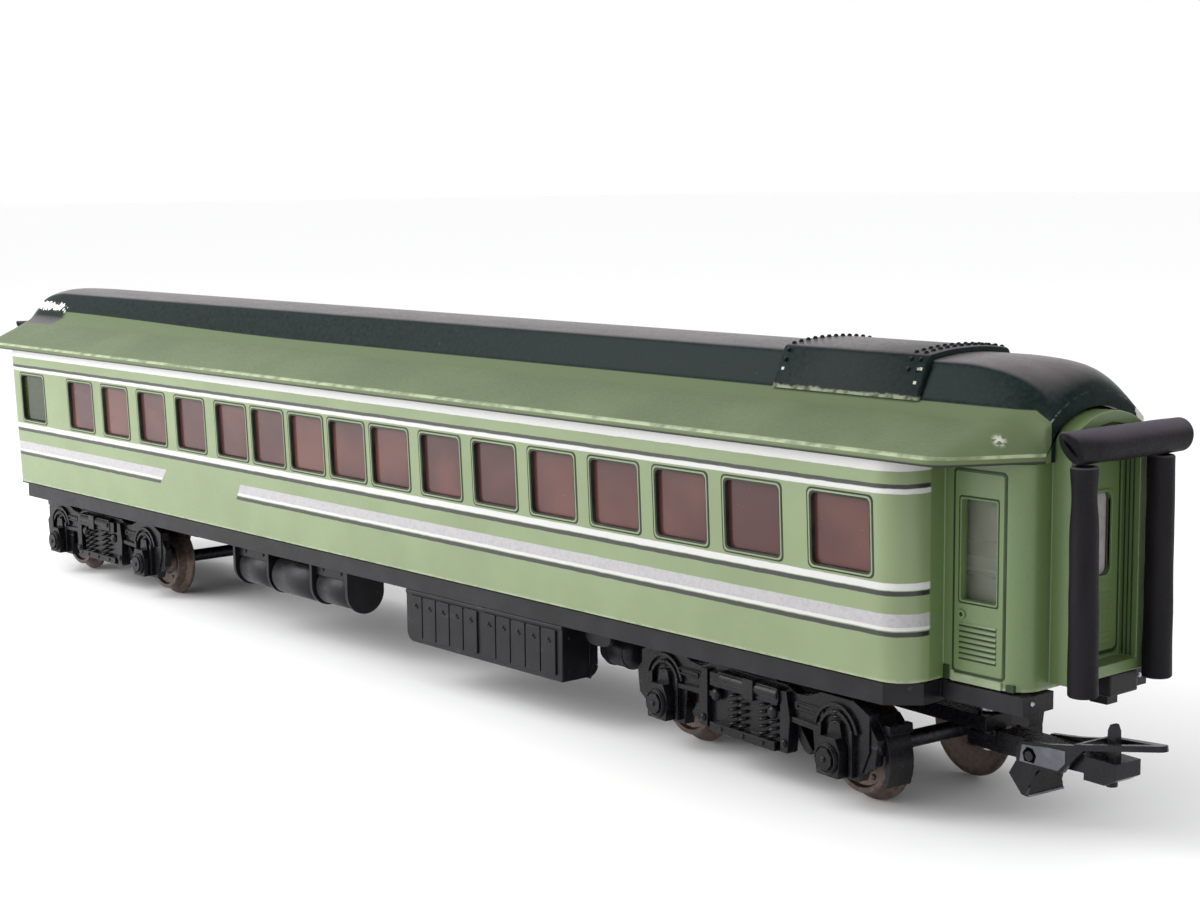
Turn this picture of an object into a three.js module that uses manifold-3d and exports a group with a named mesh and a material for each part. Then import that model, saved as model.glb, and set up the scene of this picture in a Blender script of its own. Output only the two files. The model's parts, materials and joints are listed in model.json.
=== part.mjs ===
// Model passenger coach, 1:87 scale, 16.5 mm gauge, with hook-and-loop couplings.
// Millimetres. +X runs along the coach, -Y is the side with the battery box at the +X end,
// +Z is up. z = 0 is the lowest point of the wheel flanges, x = y = 0 is the middle of the coach.
import * as THREE from 'three';
import { mergeVertices } from 'three/addons/utils/BufferGeometryUtils.js';
import Module from 'manifold-3d';

const wasm = await Module();
wasm.setup();

// ---- Driving dimensions -------------------------------------------------------------------
const beyond = 60;               // reach of the cutting tools past the coach
const gap = 0.3;                 // clearance between neighbouring mouldings
const wall = 1.2;                // thickness of the plastic mouldings

// Running gear
const flangeRadius = 5.7;
const treadRadius = 4.7;
const axleZ = flangeRadius;
const backToBack = 14.0;         // between the inner faces of a pair of wheels
const flangeThickness = 0.8;
const wheelWidth = 2.6;
const wheelbase = 29.5;
const pivotX = 76.3;             // bogie pivot from the middle of the coach
const restTurn = { near: -5, far: 0 };   // degrees each bogie stands turned at rest

// Body shell
const sideY = 16.25;             // half width at the bottom edge of the sides
const sideEndX = 100.9;          // where the full-width body ends
const cornerRadius = 3.4;
const porchY = 10.25;            // the set-back walls that hold the side doors
const vestibuleEndX = 111.1;
const vestibuleCorner = 2.5;
const shellBottom = 15.4;
const shellTop = 38.15;
const lean = 0.9;                // the sides lean out by this much at the top

// Gangway
const gangwayX = 113.4;
const gangwayY = 6.3;
const gangwayBottom = 16.0;
const gangwaySpring = 40.6;      // where the arched top begins
const gangwayTop = 42.9;
const passageY = 5.0;
const passageDepth = 2.2;
const sill = 1.2;

// Windows
const windowBottom = 26.15;
const windowTop = 34.2;
const windowWidth = 8.6;
const firstWindowX = 92.7;       // centre of the end window
const windowPitches = [12.67, ...Array(6).fill(11.15), ...Array(4).fill(10.0), ...Array(4).fill(11.8)];
const lavatoryWindowX = -91.3;
const doorWindow = { x0: 102.9, x1: 107.8, z0: 23.7, z1: 34.2 };
const endDoorWindow = { y: 3.2, z0: 25.6, z1: 34.5 };

// Roof
const eaveY = 18.2;
const eaveZ = shellTop + gap;
const lipHeight = 0.85;
const lanternY = 8.1;            // half width of the raised middle of the roof at its foot
const lanternFoot = 43.05;
const shoulderY = 6.05;
const shoulderZ = 47.15;
const crownZ = 47.65;
const rimX = 111.6;              // the arched end of the roof over the gangway
const rimFoot = 41.45;
const rimTop = 44.0;
const domeLength = 11.5;         // the crown falls to the rim over this length
const footFallLength = 4.6;      // and the foot of the raised part over this one
const hipStartX = 106.3;         // the eaves taper towards the gangway from here
const hipSlope = 1.9;
const hipSoftness = 0.5;         // how gently the taper sets in
const domeSharpness = 4;         // the crown stays level, then drops like a quarter of an egg
const domeRoundness = 0.53;
const roofWall = 1.1;

// Underframe
const soleBottom = 12.8;
const chassisTop = 15.1;
const soleY = 15.55;

// ---- Geometry helpers ---------------------------------------------------------------------
function bare(geometry) {
  const g = geometry.index ? geometry.clone() : geometry;
  g.deleteAttribute('normal');
  g.deleteAttribute('uv');
  return mergeVertices(g, 1e-4);
}

function solid(geometry) {
  const g = bare(geometry);
  return new wasm.Manifold(new wasm.Mesh({
    numProp: 3,
    vertProperties: new Float32Array(g.attributes.position.array),
    triVerts: new Uint32Array(g.index.array),
  }));
}

function geometryOf(manifold) {
  const mesh = manifold.getMesh();
  const g = new THREE.BufferGeometry();
  g.setAttribute('position', new THREE.BufferAttribute(new Float32Array(mesh.vertProperties), 3));
  g.setIndex(new THREE.BufferAttribute(new Uint32Array(mesh.triVerts), 1));
  return g;
}

const join = (...parts) => parts.reduce((sum, part) => sum.add(part));
const cut = (body, ...tools) => tools.reduce((rest, tool) => rest.subtract(tool), body);

function outline(points, holes = []) {
  const shape = new THREE.Shape(points.map(([a, b]) => new THREE.Vector2(a, b)));
  holes.forEach((hole) => shape.holes.push(new THREE.Path(hole.map(([a, b]) => new THREE.Vector2(a, b)))));
  return shape;
}

function extrude(points, depth, holes) {
  return new THREE.ExtrudeGeometry(outline(points, holes), { depth, bevelEnabled: false });
}

// Outline in plan (x, y), from z0 up to z1.
function planPrism(points, z0, z1, holes) {
  return solid(extrude(points, z1 - z0, holes).translate(0, 0, z0));
}

// Outline seen from the side (x, z), from y0 to y1.
function sidePrism(points, y0, y1, holes) {
  return solid(extrude(points, y1 - y0, holes).rotateX(Math.PI / 2).translate(0, y1, 0));
}

// Outline seen from the end (y, z), from x0 to x1.
function endPrism(points, x0, x1, holes) {
  const turn = new THREE.Matrix4().set(0, 0, 1, x0, 1, 0, 0, 0, 0, 1, 0, 0, 0, 0, 0, 1);
  return solid(extrude(points, x1 - x0, holes).applyMatrix4(turn));
}

function block(x0, x1, y0, y1, z0, z1) {
  const g = new THREE.BoxGeometry(x1 - x0, y1 - y0, z1 - z0);
  return solid(g.translate((x0 + x1) / 2, (y0 + y1) / 2, (z0 + z1) / 2));
}

function arc(cx, cy, radius, from, to, steps) {
  return Array.from({ length: steps + 1 }, (_, i) => {
    const a = THREE.MathUtils.degToRad(from + (to - from) * i / steps);
    return [cx + radius * Math.cos(a), cy + radius * Math.sin(a)];
  });
}

const mirrorY = (points) => points.map(([a, b]) => [a, -b]).reverse();
const mirrorX = (points) => points.map(([a, b]) => [-a, b]).reverse();

// Turned piece: profile of [radius, height] pairs, both ends on the axis, about local +Z.
function turned(profile, segments) {
  const points = profile.map(([r, h]) => new THREE.Vector2(r, h));
  return new THREE.LatheGeometry(points, segments).rotateX(Math.PI / 2);
}

const aboutX = (geometry) => geometry.rotateY(Math.PI / 2);
const aboutY = (geometry) => geometry.rotateX(-Math.PI / 2);

function rod(radius, length, segments) {
  return turned([[0, 0], [radius, 0], [radius, length], [0, length]], segments);
}

const pinZ = (x, y, z0, z1, radius, n = 16) => solid(rod(radius, z1 - z0, n).translate(x, y, z0));
const pinY = (x, y0, y1, z, radius, n = 16) => solid(aboutY(rod(radius, y1 - y0, n)).translate(x, y0, z));

// Closed skin through rings that all have the same number of points.
function loft(rings) {
  const n = rings[0].length;
  const points = rings.flat();
  const faces = [];
  for (let r = 0; r + 1 < rings.length; r += 1) {
    for (let i = 0; i < n; i += 1) {
      const a = r * n + i;
      const b = r * n + (i + 1) % n;
      faces.push(a, b, b + n, a, b + n, a + n);
    }
  }
  const last = (rings.length - 1) * n;
  const flat = rings[0].map(([, y, z]) => new THREE.Vector2(y, z));
  THREE.ShapeUtils.triangulateShape(flat, []).forEach(([a, b, c]) => {
    faces.push(a, c, b, last + a, last + b, last + c);
  });
  const g = new THREE.BufferGeometry();
  g.setAttribute('position', new THREE.BufferAttribute(new Float32Array(points.flat()), 3));
  g.setIndex(faces);
  return solid(g);
}

// ---- Materials ----------------------------------------------------------------------------
function finish(color, roughness, metalness = 0) {
  return new THREE.MeshStandardMaterial({ color, roughness, metalness });
}

const materials = {
  bodyGreen: finish(0x9bb57f, 0.45),
  roofGreen: finish(0x1f302c, 0.25),
  tinted: finish(0x7a5550, 0.3),
  clear: finish(0xd8dcd6, 0.15),
  black: finish(0x1b1a1f, 0.5),
  rubber: finish(0x2a262d, 0.8),
  wheel: finish(0x4a3c38, 0.45),
  steel: finish(0x9a9a9c, 0.35, 1),
  interior: finish(0x8c8f84, 0.7),
};

const coach = new THREE.Group();

function place(name, geometry, material, parent = coach) {
  const mesh = new THREE.Mesh(geometry, material);
  mesh.name = name;
  parent.add(mesh);
  return mesh;
}

// ---- Body shell ---------------------------------------------------------------------------
const windowCentres = windowPitches.reduce((xs, pitch) => [...xs, xs.at(-1) - pitch], [firstWindowX]);
const sideOpenings = [...windowCentres, lavatoryWindowX].map((x) => {
  return [x - windowWidth / 2, x + windowWidth / 2];
});

// The sides lean out towards the eaves; the set-back door walls stay upright.
function leaned(geometry) {
  const p = geometry.attributes.position;
  for (let i = 0; i < p.count; i += 1) {
    const y = p.getY(i);
    const reach = THREE.MathUtils.clamp((Math.abs(y) - porchY) / (sideY - porchY), 0, 1);
    const rise = (p.getZ(i) - shellBottom) / (shellTop - shellBottom);
    p.setY(i, y + Math.sign(y) * lean * reach * rise);
  }
  return geometry;
}

function shellPlan() {
  const corner = arc(sideEndX - cornerRadius, -sideY + cornerRadius, cornerRadius, -90, 0, 5);
  const column = arc(vestibuleEndX - vestibuleCorner, -porchY + vestibuleCorner, vestibuleCorner, -90, 0, 4);
  const half = [...corner, [sideEndX, -porchY], ...column, [vestibuleEndX, -gangwayY + gap]];
  const end = [...half, ...mirrorY(half)];
  return [...end, ...mirrorX(end)];
}

function archTop(halfWidth, springZ, topZ, steps) {
  const rise = topZ - springZ;
  const radius = (halfWidth ** 2 + rise ** 2) / (2 * rise);
  const half = THREE.MathUtils.radToDeg(Math.asin(halfWidth / radius));
  return arc(0, topZ - radius, radius, 90 - half, 90 + half, steps);
}

function gangwayBox(side) {
  const top = archTop(gangwayY, gangwaySpring, gangwayTop, 8);
  const inner = vestibuleEndX - 2 * wall;
  const x = side > 0 ? [inner, gangwayX] : [-gangwayX, -inner];
  return endPrism([[-gangwayY, gangwayBottom], [gangwayY, gangwayBottom], ...top], ...x);
}

function gangwayPassage(side) {
  const top = archTop(passageY, gangwaySpring - wall, gangwayTop - wall, 6);
  const bottom = gangwayBottom + sill;
  const [inner, outer] = [gangwayX - passageDepth, gangwayX + wall];
  const x = side > 0 ? [inner, outer] : [-outer, -inner];
  return endPrism([[-passageY, bottom], [passageY, bottom], ...top], ...x);
}

function bodyShell() {
  const endWallX = gangwayX - passageDepth - wall;
  const room = block(-sideEndX + wall, sideEndX - wall, -sideY + wall, sideY - wall, 0, beyond);
  const lobby = block(-endWallX, endWallX, -porchY + wall, porchY - wall, 0, shellTop + 1);
  const openings = [-1, 1].flatMap((side) => {
    const y = side > 0 ? [sideY - 2 * wall, sideY + wall] : [-sideY - wall, -sideY + 2 * wall];
    return sideOpenings.map(([x0, x1]) => {
      const x = side < 0 ? [x0, x1] : [-x1, -x0];
      return block(...x, ...y, windowBottom, windowTop);
    });
  });
  const doors = [-1, 1].map((end) => {
    const [x0, x1] = end > 0 ? [doorWindow.x0, doorWindow.x1] : [-doorWindow.x1, -doorWindow.x0];
    return block(x0, x1, -porchY - wall, porchY + wall, doorWindow.z0, doorWindow.z1);
  });
  const { y: half, z0: sillZ, z1: headZ } = endDoorWindow;
  const endDoors = block(-gangwayX, gangwayX, -half, half, sillZ, headZ);
  const shell = join(planPrism(shellPlan(), shellBottom, shellTop), gangwayBox(1), gangwayBox(-1));
  const inside = join(room, lobby);
  const hollow = cut(shell, inside, gangwayPassage(1), gangwayPassage(-1), endDoors, ...openings, ...doors);
  return leaned(geometryOf(hollow));
}

place('body_shell', bodyShell(), materials.bodyGreen);

// ---- Glazing ------------------------------------------------------------------------------
const glazingInner = sideY - wall - 0.9;
const stripX = [-97.5, 98.5];    // the strip that carries the panes of one side
const stripThickness = 0.7;
const stripOverlap = 1.6;        // above and below the windows
const paneClearance = 0.25;
const paneProud = 0.75;          // how far each pane stands into its opening

function sideGlazing() {
  const stripZ = [windowBottom - stripOverlap, windowTop + stripOverlap];
  const strip = block(...stripX, glazingInner, glazingInner + stripThickness, ...stripZ);
  const paneY = [glazingInner + stripThickness / 2, sideY - wall + paneProud];
  const paneZ = [windowBottom + paneClearance, windowTop - paneClearance];
  const panes = sideOpenings.map(([x0, x1]) => {
    return block(x0 + paneClearance, x1 - paneClearance, ...paneY, ...paneZ);
  });
  return leaned(geometryOf(join(strip, ...panes)));
}

// Turned over about one axis, a mesh keeps its faces outwards when their order is reversed.
function glazing(side) {
  const geometry = sideGlazing();
  geometry.scale(...(side < 0 ? [1, -1, 1] : [-1, 1, 1]));
  geometry.index.array.reverse();
  return geometry;
}

place('glazing_left', glazing(-1), materials.tinted);
place('glazing_right', glazing(1), materials.tinted);

const lobbyGlassBack = 99.0;
const lobbyGlassOverlap = 1.2;

// One clear moulding in each lobby backs both side doors and the end door.
function lobbyGlazing(end) {
  const outerX = gangwayX - passageDepth - wall - gap;
  const outerY = porchY - wall - gap;
  const t = stripThickness;
  const [z0, z1] = [doorWindow.z0 - lobbyGlassOverlap, doorWindow.z1 + lobbyGlassOverlap];
  const back = lobbyGlassBack;
  const plan = [[back, -outerY], [outerX, -outerY], [outerX, outerY], [back, outerY],
    [back, outerY - t], [outerX - t, outerY - t], [outerX - t, -outerY + t], [back, -outerY + t]];
  return geometryOf(planPrism(end > 0 ? plan : mirrorX(plan), z0, z1));
}

place('lobby_glazing_near', lobbyGlazing(1), materials.clear);
place('lobby_glazing_far', lobbyGlazing(-1), materials.clear);

// ---- Roof ---------------------------------------------------------------------------------
// 0 on the straight part of the roof, 1 at the arched rim, over the last stretch of the given length.
const towardsRim = (x, length) => THREE.MathUtils.clamp((Math.abs(x) - rimX + length) / length, 0, 1);
const lerp = THREE.MathUtils.lerp;

function crownHeight(x) {
  const t = towardsRim(x, domeLength);
  return lerp(crownZ, rimTop, 1 - (1 - t ** domeSharpness) ** domeRoundness);
}

function footHeight(x) {
  const t = THREE.MathUtils.smoothstep(towardsRim(x, footFallLength), 0, 1);
  return lerp(lanternFoot, rimFoot, t);
}

function eaveHalfWidth(x) {
  const past = (Math.abs(x) - hipStartX) / hipSoftness;
  return eaveY - hipSlope * hipSoftness * Math.log(1 + Math.exp(past));
}

function lowerRoofRing(x, inset) {
  const w = eaveHalfWidth(x) - inset;
  const foot = footHeight(x) - inset;
  const lip = eaveZ + lipHeight - inset * 0.6;
  const base = inset > 0 ? eaveZ - 1 : eaveZ;
  const inner = Math.min(lanternY, w - 0.3);
  return [[x, -w, base], [x, w, base], [x, w, lip], [x, inner, foot], [x, -inner, foot], [x, -w, lip]];
}

// How far up from foot to crown the raised part reaches, y from the middle: steep sides with a
// shoulder on the straight part, a plain arch at the rim.
function lanternShare(y, blend) {
  const shoulder = 1 - (crownZ - shoulderZ) / (crownZ - lanternFoot);
  const top = 1 - (1 - shoulder) * (y / shoulderY) ** 2;
  const side = shoulder * (1 - (y - shoulderY) / (lanternY - shoulderY));
  const sided = y < shoulderY ? top : side;
  const rise = rimTop - rimFoot;
  const radius = (lanternY ** 2 + rise ** 2) / (2 * rise);
  const arched = 1 - (radius - Math.sqrt(radius ** 2 - y ** 2)) / rise;
  return lerp(sided, arched, blend);
}

function upperRoofRing(x, inset) {
  const blend = towardsRim(x, domeLength) ** 1.5;
  const [foot, crown] = [footHeight(x), crownHeight(x)];
  const stations = [lanternY, 7.1, shoulderY + 0.15, shoulderY - 0.5, 4.4, 2.9, 1.4, 0];
  const half = stations.map((y) => {
    const z = lerp(foot, crown, lanternShare(y, blend)) - inset;
    return [x, Math.max(y - inset, 0), z];
  });
  const right = [[x, lanternY - inset, rimFoot - 2], ...half];
  const left = right.slice(0, -1).map(([px, y, z]) => [px, -y, z]).reverse();
  return [...right, ...left];
}

function roofStations(endX) {
  const steps = [0, 0.3, 0.5, 0.65, 0.78, 0.87, 0.94, 0.98];
  const dome = steps.map((t) => rimX - domeLength * (1 - t)).filter((x) => x < endX - 0.1);
  const half = [...dome, endX];
  return [...half.map((x) => -x).reverse(), ...half];
}

function roofSkin(inset) {
  const xs = roofStations(rimX - inset);
  const lower = loft(xs.map((x) => lowerRoofRing(x, inset)));
  const upper = loft(xs.map((x) => upperRoofRing(x, inset)));
  return join(lower, upper);
}

function roof() {
  const mouth = archTop(gangwayY + gap, gangwaySpring + gap, gangwayTop + gap, 8);
  const end = rimX + beyond;
  const tunnel = endPrism([[-gangwayY - gap, 0], [gangwayY + gap, 0], ...mouth], -end, end);
  const keepOut = cut(tunnel, block(-rimX + roofWall, rimX - roofWall, -eaveY, eaveY, 0, beyond));
  return geometryOf(cut(roofSkin(0), roofSkin(roofWall), keepOut));
}

place('roof', roof(), materials.roofGreen);

// Riveted cover that sits like a saddle over the raised part of the roof at the near end.
const coverX = [74.7, 95.6];
const coverThickness = 0.55;
const coverGap = 0.06;
const coverFootGap = 0.35;

// The upper outline of the raised part at x, grown outwards, down to just above its foot.
function lanternOutline(x, grow) {
  const outline = upperRoofRing(x, 0).slice(1, -1);
  const low = footHeight(x) + coverFootGap;
  return outline.map(([, y, z]) => {
    const flat = THREE.MathUtils.clamp((z - lanternFoot) / (shoulderZ - lanternFoot), 0, 1);
    return [x, y + Math.sign(y) * grow * (1 - 0.5 * flat), z < low ? low : z + grow * flat];
  });
}

function roofCover() {
  const outside = (x) => lanternOutline(x, coverGap + coverThickness);
  const ring = (x) => [...outside(x), ...lanternOutline(x, coverGap).reverse()];
  return geometryOf(loft(coverX.map(ring)));
}

place('roof_riveted_cover', roofCover(), materials.roofGreen);

// ---- Gangway tubes ------------------------------------------------------------------------
const uprightRadius = 1.45;
const crossRadius = 1.75;
const tubeBore = 1.0;
const tubeX = gangwayX + 0.1 + crossRadius;
const uprightZ = [15.35, 38.1];
const crossZ = 39.95;
const crossY = { near: [-10, 9.2], far: [-8.2, 8.2] };

function tube(radius, length) {
  const ring = [[tubeBore, 0], [radius, 0], [radius, length], [tubeBore, length], [tubeBore, 0]];
  return turned(ring, 18);
}

for (const [end, name] of [[1, 'near'], [-1, 'far']]) {
  for (const [side, label] of [[-1, 'left'], [1, 'right']]) {
    const upright = tube(uprightRadius, uprightZ[1] - uprightZ[0]);
    upright.translate(end * tubeX, side * gangwayY, uprightZ[0]);
    place(`gangway_tube_${label}_${name}`, upright, materials.rubber);
  }
  const [y0, y1] = crossY[name];
  const cross = aboutY(tube(crossRadius, y1 - y0));
  place(`gangway_tube_top_${name}`, cross.translate(end * tubeX, y0, crossZ), materials.rubber);
}

// ---- Inside -------------------------------------------------------------------------------
const floorZ = chassisTop + gap;
const ballastHalf = [60, 12];
const ballastThickness = 1.4;
const seatPlateHalf = [98, 13.6];
const seatPlateThickness = 0.8;
const seatY = [-13.2, 5.2];      // the aisle runs along the other side
const seatPitch = 11.2;
const seatRows = 16;
const seatHalfDepth = 2.8;
const backHalfThickness = 0.6;
const seatHeight = 3.4;
const backHeight = 7.6;

function ballast() {
  const [halfX, halfY] = ballastHalf;
  return geometryOf(block(-halfX, halfX, -halfY, halfY, floorZ, floorZ + ballastThickness));
}

function seats() {
  const plateZ = floorZ + ballastThickness + gap;
  const [halfX, halfY] = seatPlateHalf;
  const plate = block(-halfX, halfX, -halfY, halfY, plateZ, plateZ + seatPlateThickness);
  const low = plateZ + seatPlateThickness / 2;
  const bench = (i) => {
    const x = (i - (seatRows - 1) / 2) * seatPitch;
    const back = block(x - backHalfThickness, x + backHalfThickness, ...seatY, low, plateZ + backHeight);
    const seat = block(x - seatHalfDepth, x + seatHalfDepth, ...seatY, low, plateZ + seatHeight);
    return join(back, seat);
  };
  return geometryOf(join(plate, ...Array.from({ length: seatRows }, (_, i) => bench(i))));
}

place('ballast_weight', ballast(), materials.steel);
place('seat_unit', seats(), materials.interior);

// ---- Underframe ---------------------------------------------------------------------------
const stepX = [101, vestibuleEndX];   // the blocks under the lobby corners
const stepY = [5.45, porchY];
const stepBottom = 13.2;
const tongueX = [99, 105];       // the floor between them
const tongueY = porchY - 0.2;
const tongueBottom = 13.3;
const hangerX = [107.4, 109.6];  // short lugs behind the coupler
const hangerY = [5.6, 7.4];
const hangerZ = [11.4, 13.5];
const bossRadius = 3.4;
const pinRadius = 1.5;
const bolsterTop = 11.3;

const plateBottom = 13.9;
const rimWall = 1.25;            // the sole bar all round the floor

// A span on one side of the middle, or its mirror image on the other.
const sided = ([a, b], side) => (side > 0 ? [a, b] : [-b, -a]);

function floorPlan(inset) {
  const half = [[97.5 - inset / 2, -soleY + inset], [100.4 - inset, -12.6 + inset / 2]];
  const end = [...half, ...mirrorY(half)];
  return [...end, ...mirrorX(end)];
}

function chassis() {
  const plate = planPrism(floorPlan(0), plateBottom, chassisTop);
  const inner = planPrism(floorPlan(rimWall), 0, plateBottom);
  const rim = planPrism(floorPlan(0), soleBottom, plateBottom + 0.3);
  const ends = [-1, 1].flatMap((end) => {
    const tongue = block(...sided(tongueX, end), -tongueY, tongueY, tongueBottom, chassisTop);
    const pair = (x, y, z) => [-1, 1].map((side) => block(...sided(x, end), ...sided(y, side), ...z));
    const hangers = pair(hangerX, hangerY, hangerZ);
    const steps = pair(stepX, stepY, [stepBottom, chassisTop]);
    return [tongue, ...hangers, ...steps];
  });
  const bosses = [-1, 1].map((end) => pinZ(end * pivotX, 0, bolsterTop + gap, 14.2, bossRadius, 20));
  const holes = [-1, 1].map((end) => pinZ(end * pivotX, 0, 0, 14.6, pinRadius + 0.12, 18));
  return geometryOf(cut(join(plate, cut(rim, inner), ...ends, ...bosses), ...holes));
}

place('chassis', chassis(), materials.black);

// Small block under each gangway, right of its middle as seen from outside.
for (const [turn, name] of [[0, 'near'], [Math.PI, 'far']]) {
  const foot = geometryOf(block(111.2, 113.1, 1.1, 5.85, 13.6, shellBottom + 0.55));
  place(`gangway_foot_${name}`, foot.rotateZ(turn), materials.black);
}

const batteryX = [14.1, 46.3];
const batteryY = [-15.6, -9.65];
const batteryZ = [5.8, soleBottom - 0.05];
const batteryCut = 1.3;          // the lower back edge is cut away by this much

function batteryBox() {
  const [x0, x1] = batteryX;
  const [z0, z1] = batteryZ;
  const [y0, y1] = batteryY;
  const front = [[x0, z0 + 1.2], [x0 + 1.2, z0], [x1, z0], [x1, z1], [x0, z1]];
  const [cutY, cutZ] = [y1 - batteryCut, z0 + batteryCut];
  const wedge = [[cutY, z0 - 1], [y1 + 1, z0 - 1], [y1 + 1, cutZ], [y1, cutZ]];
  const backEdge = endPrism(wedge, x0 - 1, x1 + 1);
  return geometryOf(cut(sidePrism(front, y0, y1), backEdge));
}

const tankFlanges = [-30.0, -20.75, -9.3, -0.4];
const tankY = -12.15;
const tankZ = 9.7;
const flangeR = 3.05;
const drumR = [2.75, 2.95, 2.75];
const saddleHalf = 2.4;
const saddleRise = 1.6;

// Flange plate: round below, straight sides up to the sole bar.
function tankFlange(x) {
  const bowl = arc(tankY, tankZ, flangeR, 180, 360, 10);
  const top = soleBottom - 0.05;
  return endPrism([...bowl, [tankY + flangeR, top], [tankY - flangeR, top]], x - 0.3, x + 0.3);
}

function tankRow() {
  const drums = drumR.map((radius, i) => {
    const [x0, x1] = [tankFlanges[i], tankFlanges[i + 1]];
    return solid(aboutX(rod(radius, x1 - x0, 18)).translate(x0, tankY, tankZ));
  });
  const saddles = [0, 2].map((i) => {
    const x = [tankFlanges[i], tankFlanges[i + 1]];
    return block(...x, tankY - saddleHalf, tankY + saddleHalf, tankZ + saddleRise, soleBottom - 0.05);
  });
  return geometryOf(join(...drums, ...saddles, ...tankFlanges.map(tankFlange)));
}

function reservoir() {
  const drum = solid(aboutX(rod(2.1, 6, 16)).translate(47, -8.5, 9.5));
  return geometryOf(join(drum, block(48.8, 51.2, -9.4, -7.6, 9.5, 13.75)));
}

// The +Y side carries the same equipment, turned half round.
for (const [turn, label] of [[0, 'left'], [Math.PI, 'right']]) {
  place(`battery_box_${label}`, batteryBox().rotateZ(turn), materials.black);
  place(`air_tanks_${label}`, tankRow().rotateZ(turn), materials.black);
  place(`reservoir_${label}`, reservoir().rotateZ(turn), materials.black);
}

// ---- Bogies -------------------------------------------------------------------------------
const frameInner = 11.3;
const frameOuter = 12.7;
const boxOuter = 14.2;
const nestOuter = 13.6;
const nestHalf = 5.6;            // spring nest between the axle boxes
const axleRadius = 0.95;
const axleEnd = 12.2;
const axleBore = 0.8;            // for the thinner ends of the axles
const spineZ = [8.9, 10.5];
const couplerPivot = 24.2;       // from the bogie's middle
const bolsterBottom = 8.7;

// Side view of a bogie side frame: an arch over each axle box and a spring nest between them.
function frameOutline() {
  const a = wheelbase / 2;
  const half = [[0, 4.0], [6.6, 4.0], [7.2, 7.6], [a - 3.9, 7.6], [a - 3.4, 3.5], [a + 3.2, 3.5],
    [a + 4.8, 7.0], [a + 4.8, 10.9], [a + 2.4, 12.0], [a - 2.6, 12.0], [a - 4.6, 11.2], [8.2, 11.0], [6.6, 11.7], [0, 11.7]];
  return [...half, ...mirrorX(half.slice(1, -1))];
}

function axleBox(x, side) {
  const [y0, y1] = sided([frameOuter - 0.3, boxOuter], side);
  const shape = [[x - 1.7, 3.7], [x + 1.7, 3.7], [x + 1.9, 6.6], [x + 1.2, 7.9], [x - 1.2, 7.9],
    [x - 1.9, 6.6]];
  return sidePrism(shape, y0, y1);
}

function bogieFrame() {
  const sides = [-1, 1].flatMap((side) => {
    const [y0, y1] = sided([frameInner, frameOuter], side);
    const boxes = [-1, 1].map((end) => axleBox(end * wheelbase / 2, side));
    const nest = sided([frameOuter - 0.2, nestOuter], side);
    const springPlank = block(-nestHalf, nestHalf, ...nest, 4.2, 5.2);
    const springHead = block(-nestHalf, nestHalf, ...nest, 9.4, 11.0);
    return [sidePrism(frameOutline(), y0, y1), ...boxes, springPlank, springHead];
  });
  const bolster = block(-4.4, 4.4, -frameInner - 0.2, frameInner + 0.2, bolsterBottom, bolsterTop);
  const spine = block(0, couplerPivot + 1.8, -2.4, 2.4, ...spineZ);
  const tail = block(-17, 0, -1.6, 1.6, ...spineZ);
  const boreEnd = axleEnd + 0.25;
  const bores = [-1, 1].map((end) => pinY(end * wheelbase / 2, -boreEnd, boreEnd, axleZ, axleBore, 12));
  const kingHole = pinZ(0, 0, 0, beyond, pinRadius + 0.15, 18);
  const couplerHole = pinZ(couplerPivot, 0, 0, beyond, 0.8, 12);
  return cut(join(...sides, bolster, spine, tail), ...bores, kingHole, couplerHole);
}

function axle() {
  const tip = 0.55;
  const profile = [[0, -axleEnd], [tip, -axleEnd], [tip, -frameInner + 0.5], [axleRadius, -frameInner + 1.1],
    [axleRadius, frameInner - 1.1], [tip, frameInner - 0.5], [tip, axleEnd], [0, axleEnd]];
  return aboutY(turned(profile, 12));
}

// Wheel with its flange at the inner face; the bore clears the axle.
function wheel(side) {
  const inner = backToBack / 2;
  const bore = axleRadius + 0.05;
  const profile = [[bore, inner], [flangeRadius - 0.25, inner], [flangeRadius, inner + 0.3],
    [flangeRadius - 0.15, inner + flangeThickness], [treadRadius, inner + flangeThickness + 0.35],
    [treadRadius - 0.12, inner + wheelWidth], [bore, inner + wheelWidth], [bore, inner]];
  const geometry = aboutY(turned(profile, 28));
  return side > 0 ? geometry : geometry.rotateZ(Math.PI);
}

// ---- Couplings ----------------------------------------------------------------------------
// All in the bogie's own frame: x runs outwards from its pivot.
const shankHalf = 1.55;
const shankEnd = 38.9;
const loopPivot = [32.2, 7.8];   // x, z
const loopTilt = 9;              // degrees the loop rises towards its tip
const loopTip = 47.5;
const ringStart = 38;            // where the loop's flat ring begins
const cheekInner = 1.9;
const cheekOuter = 2.5;

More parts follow.
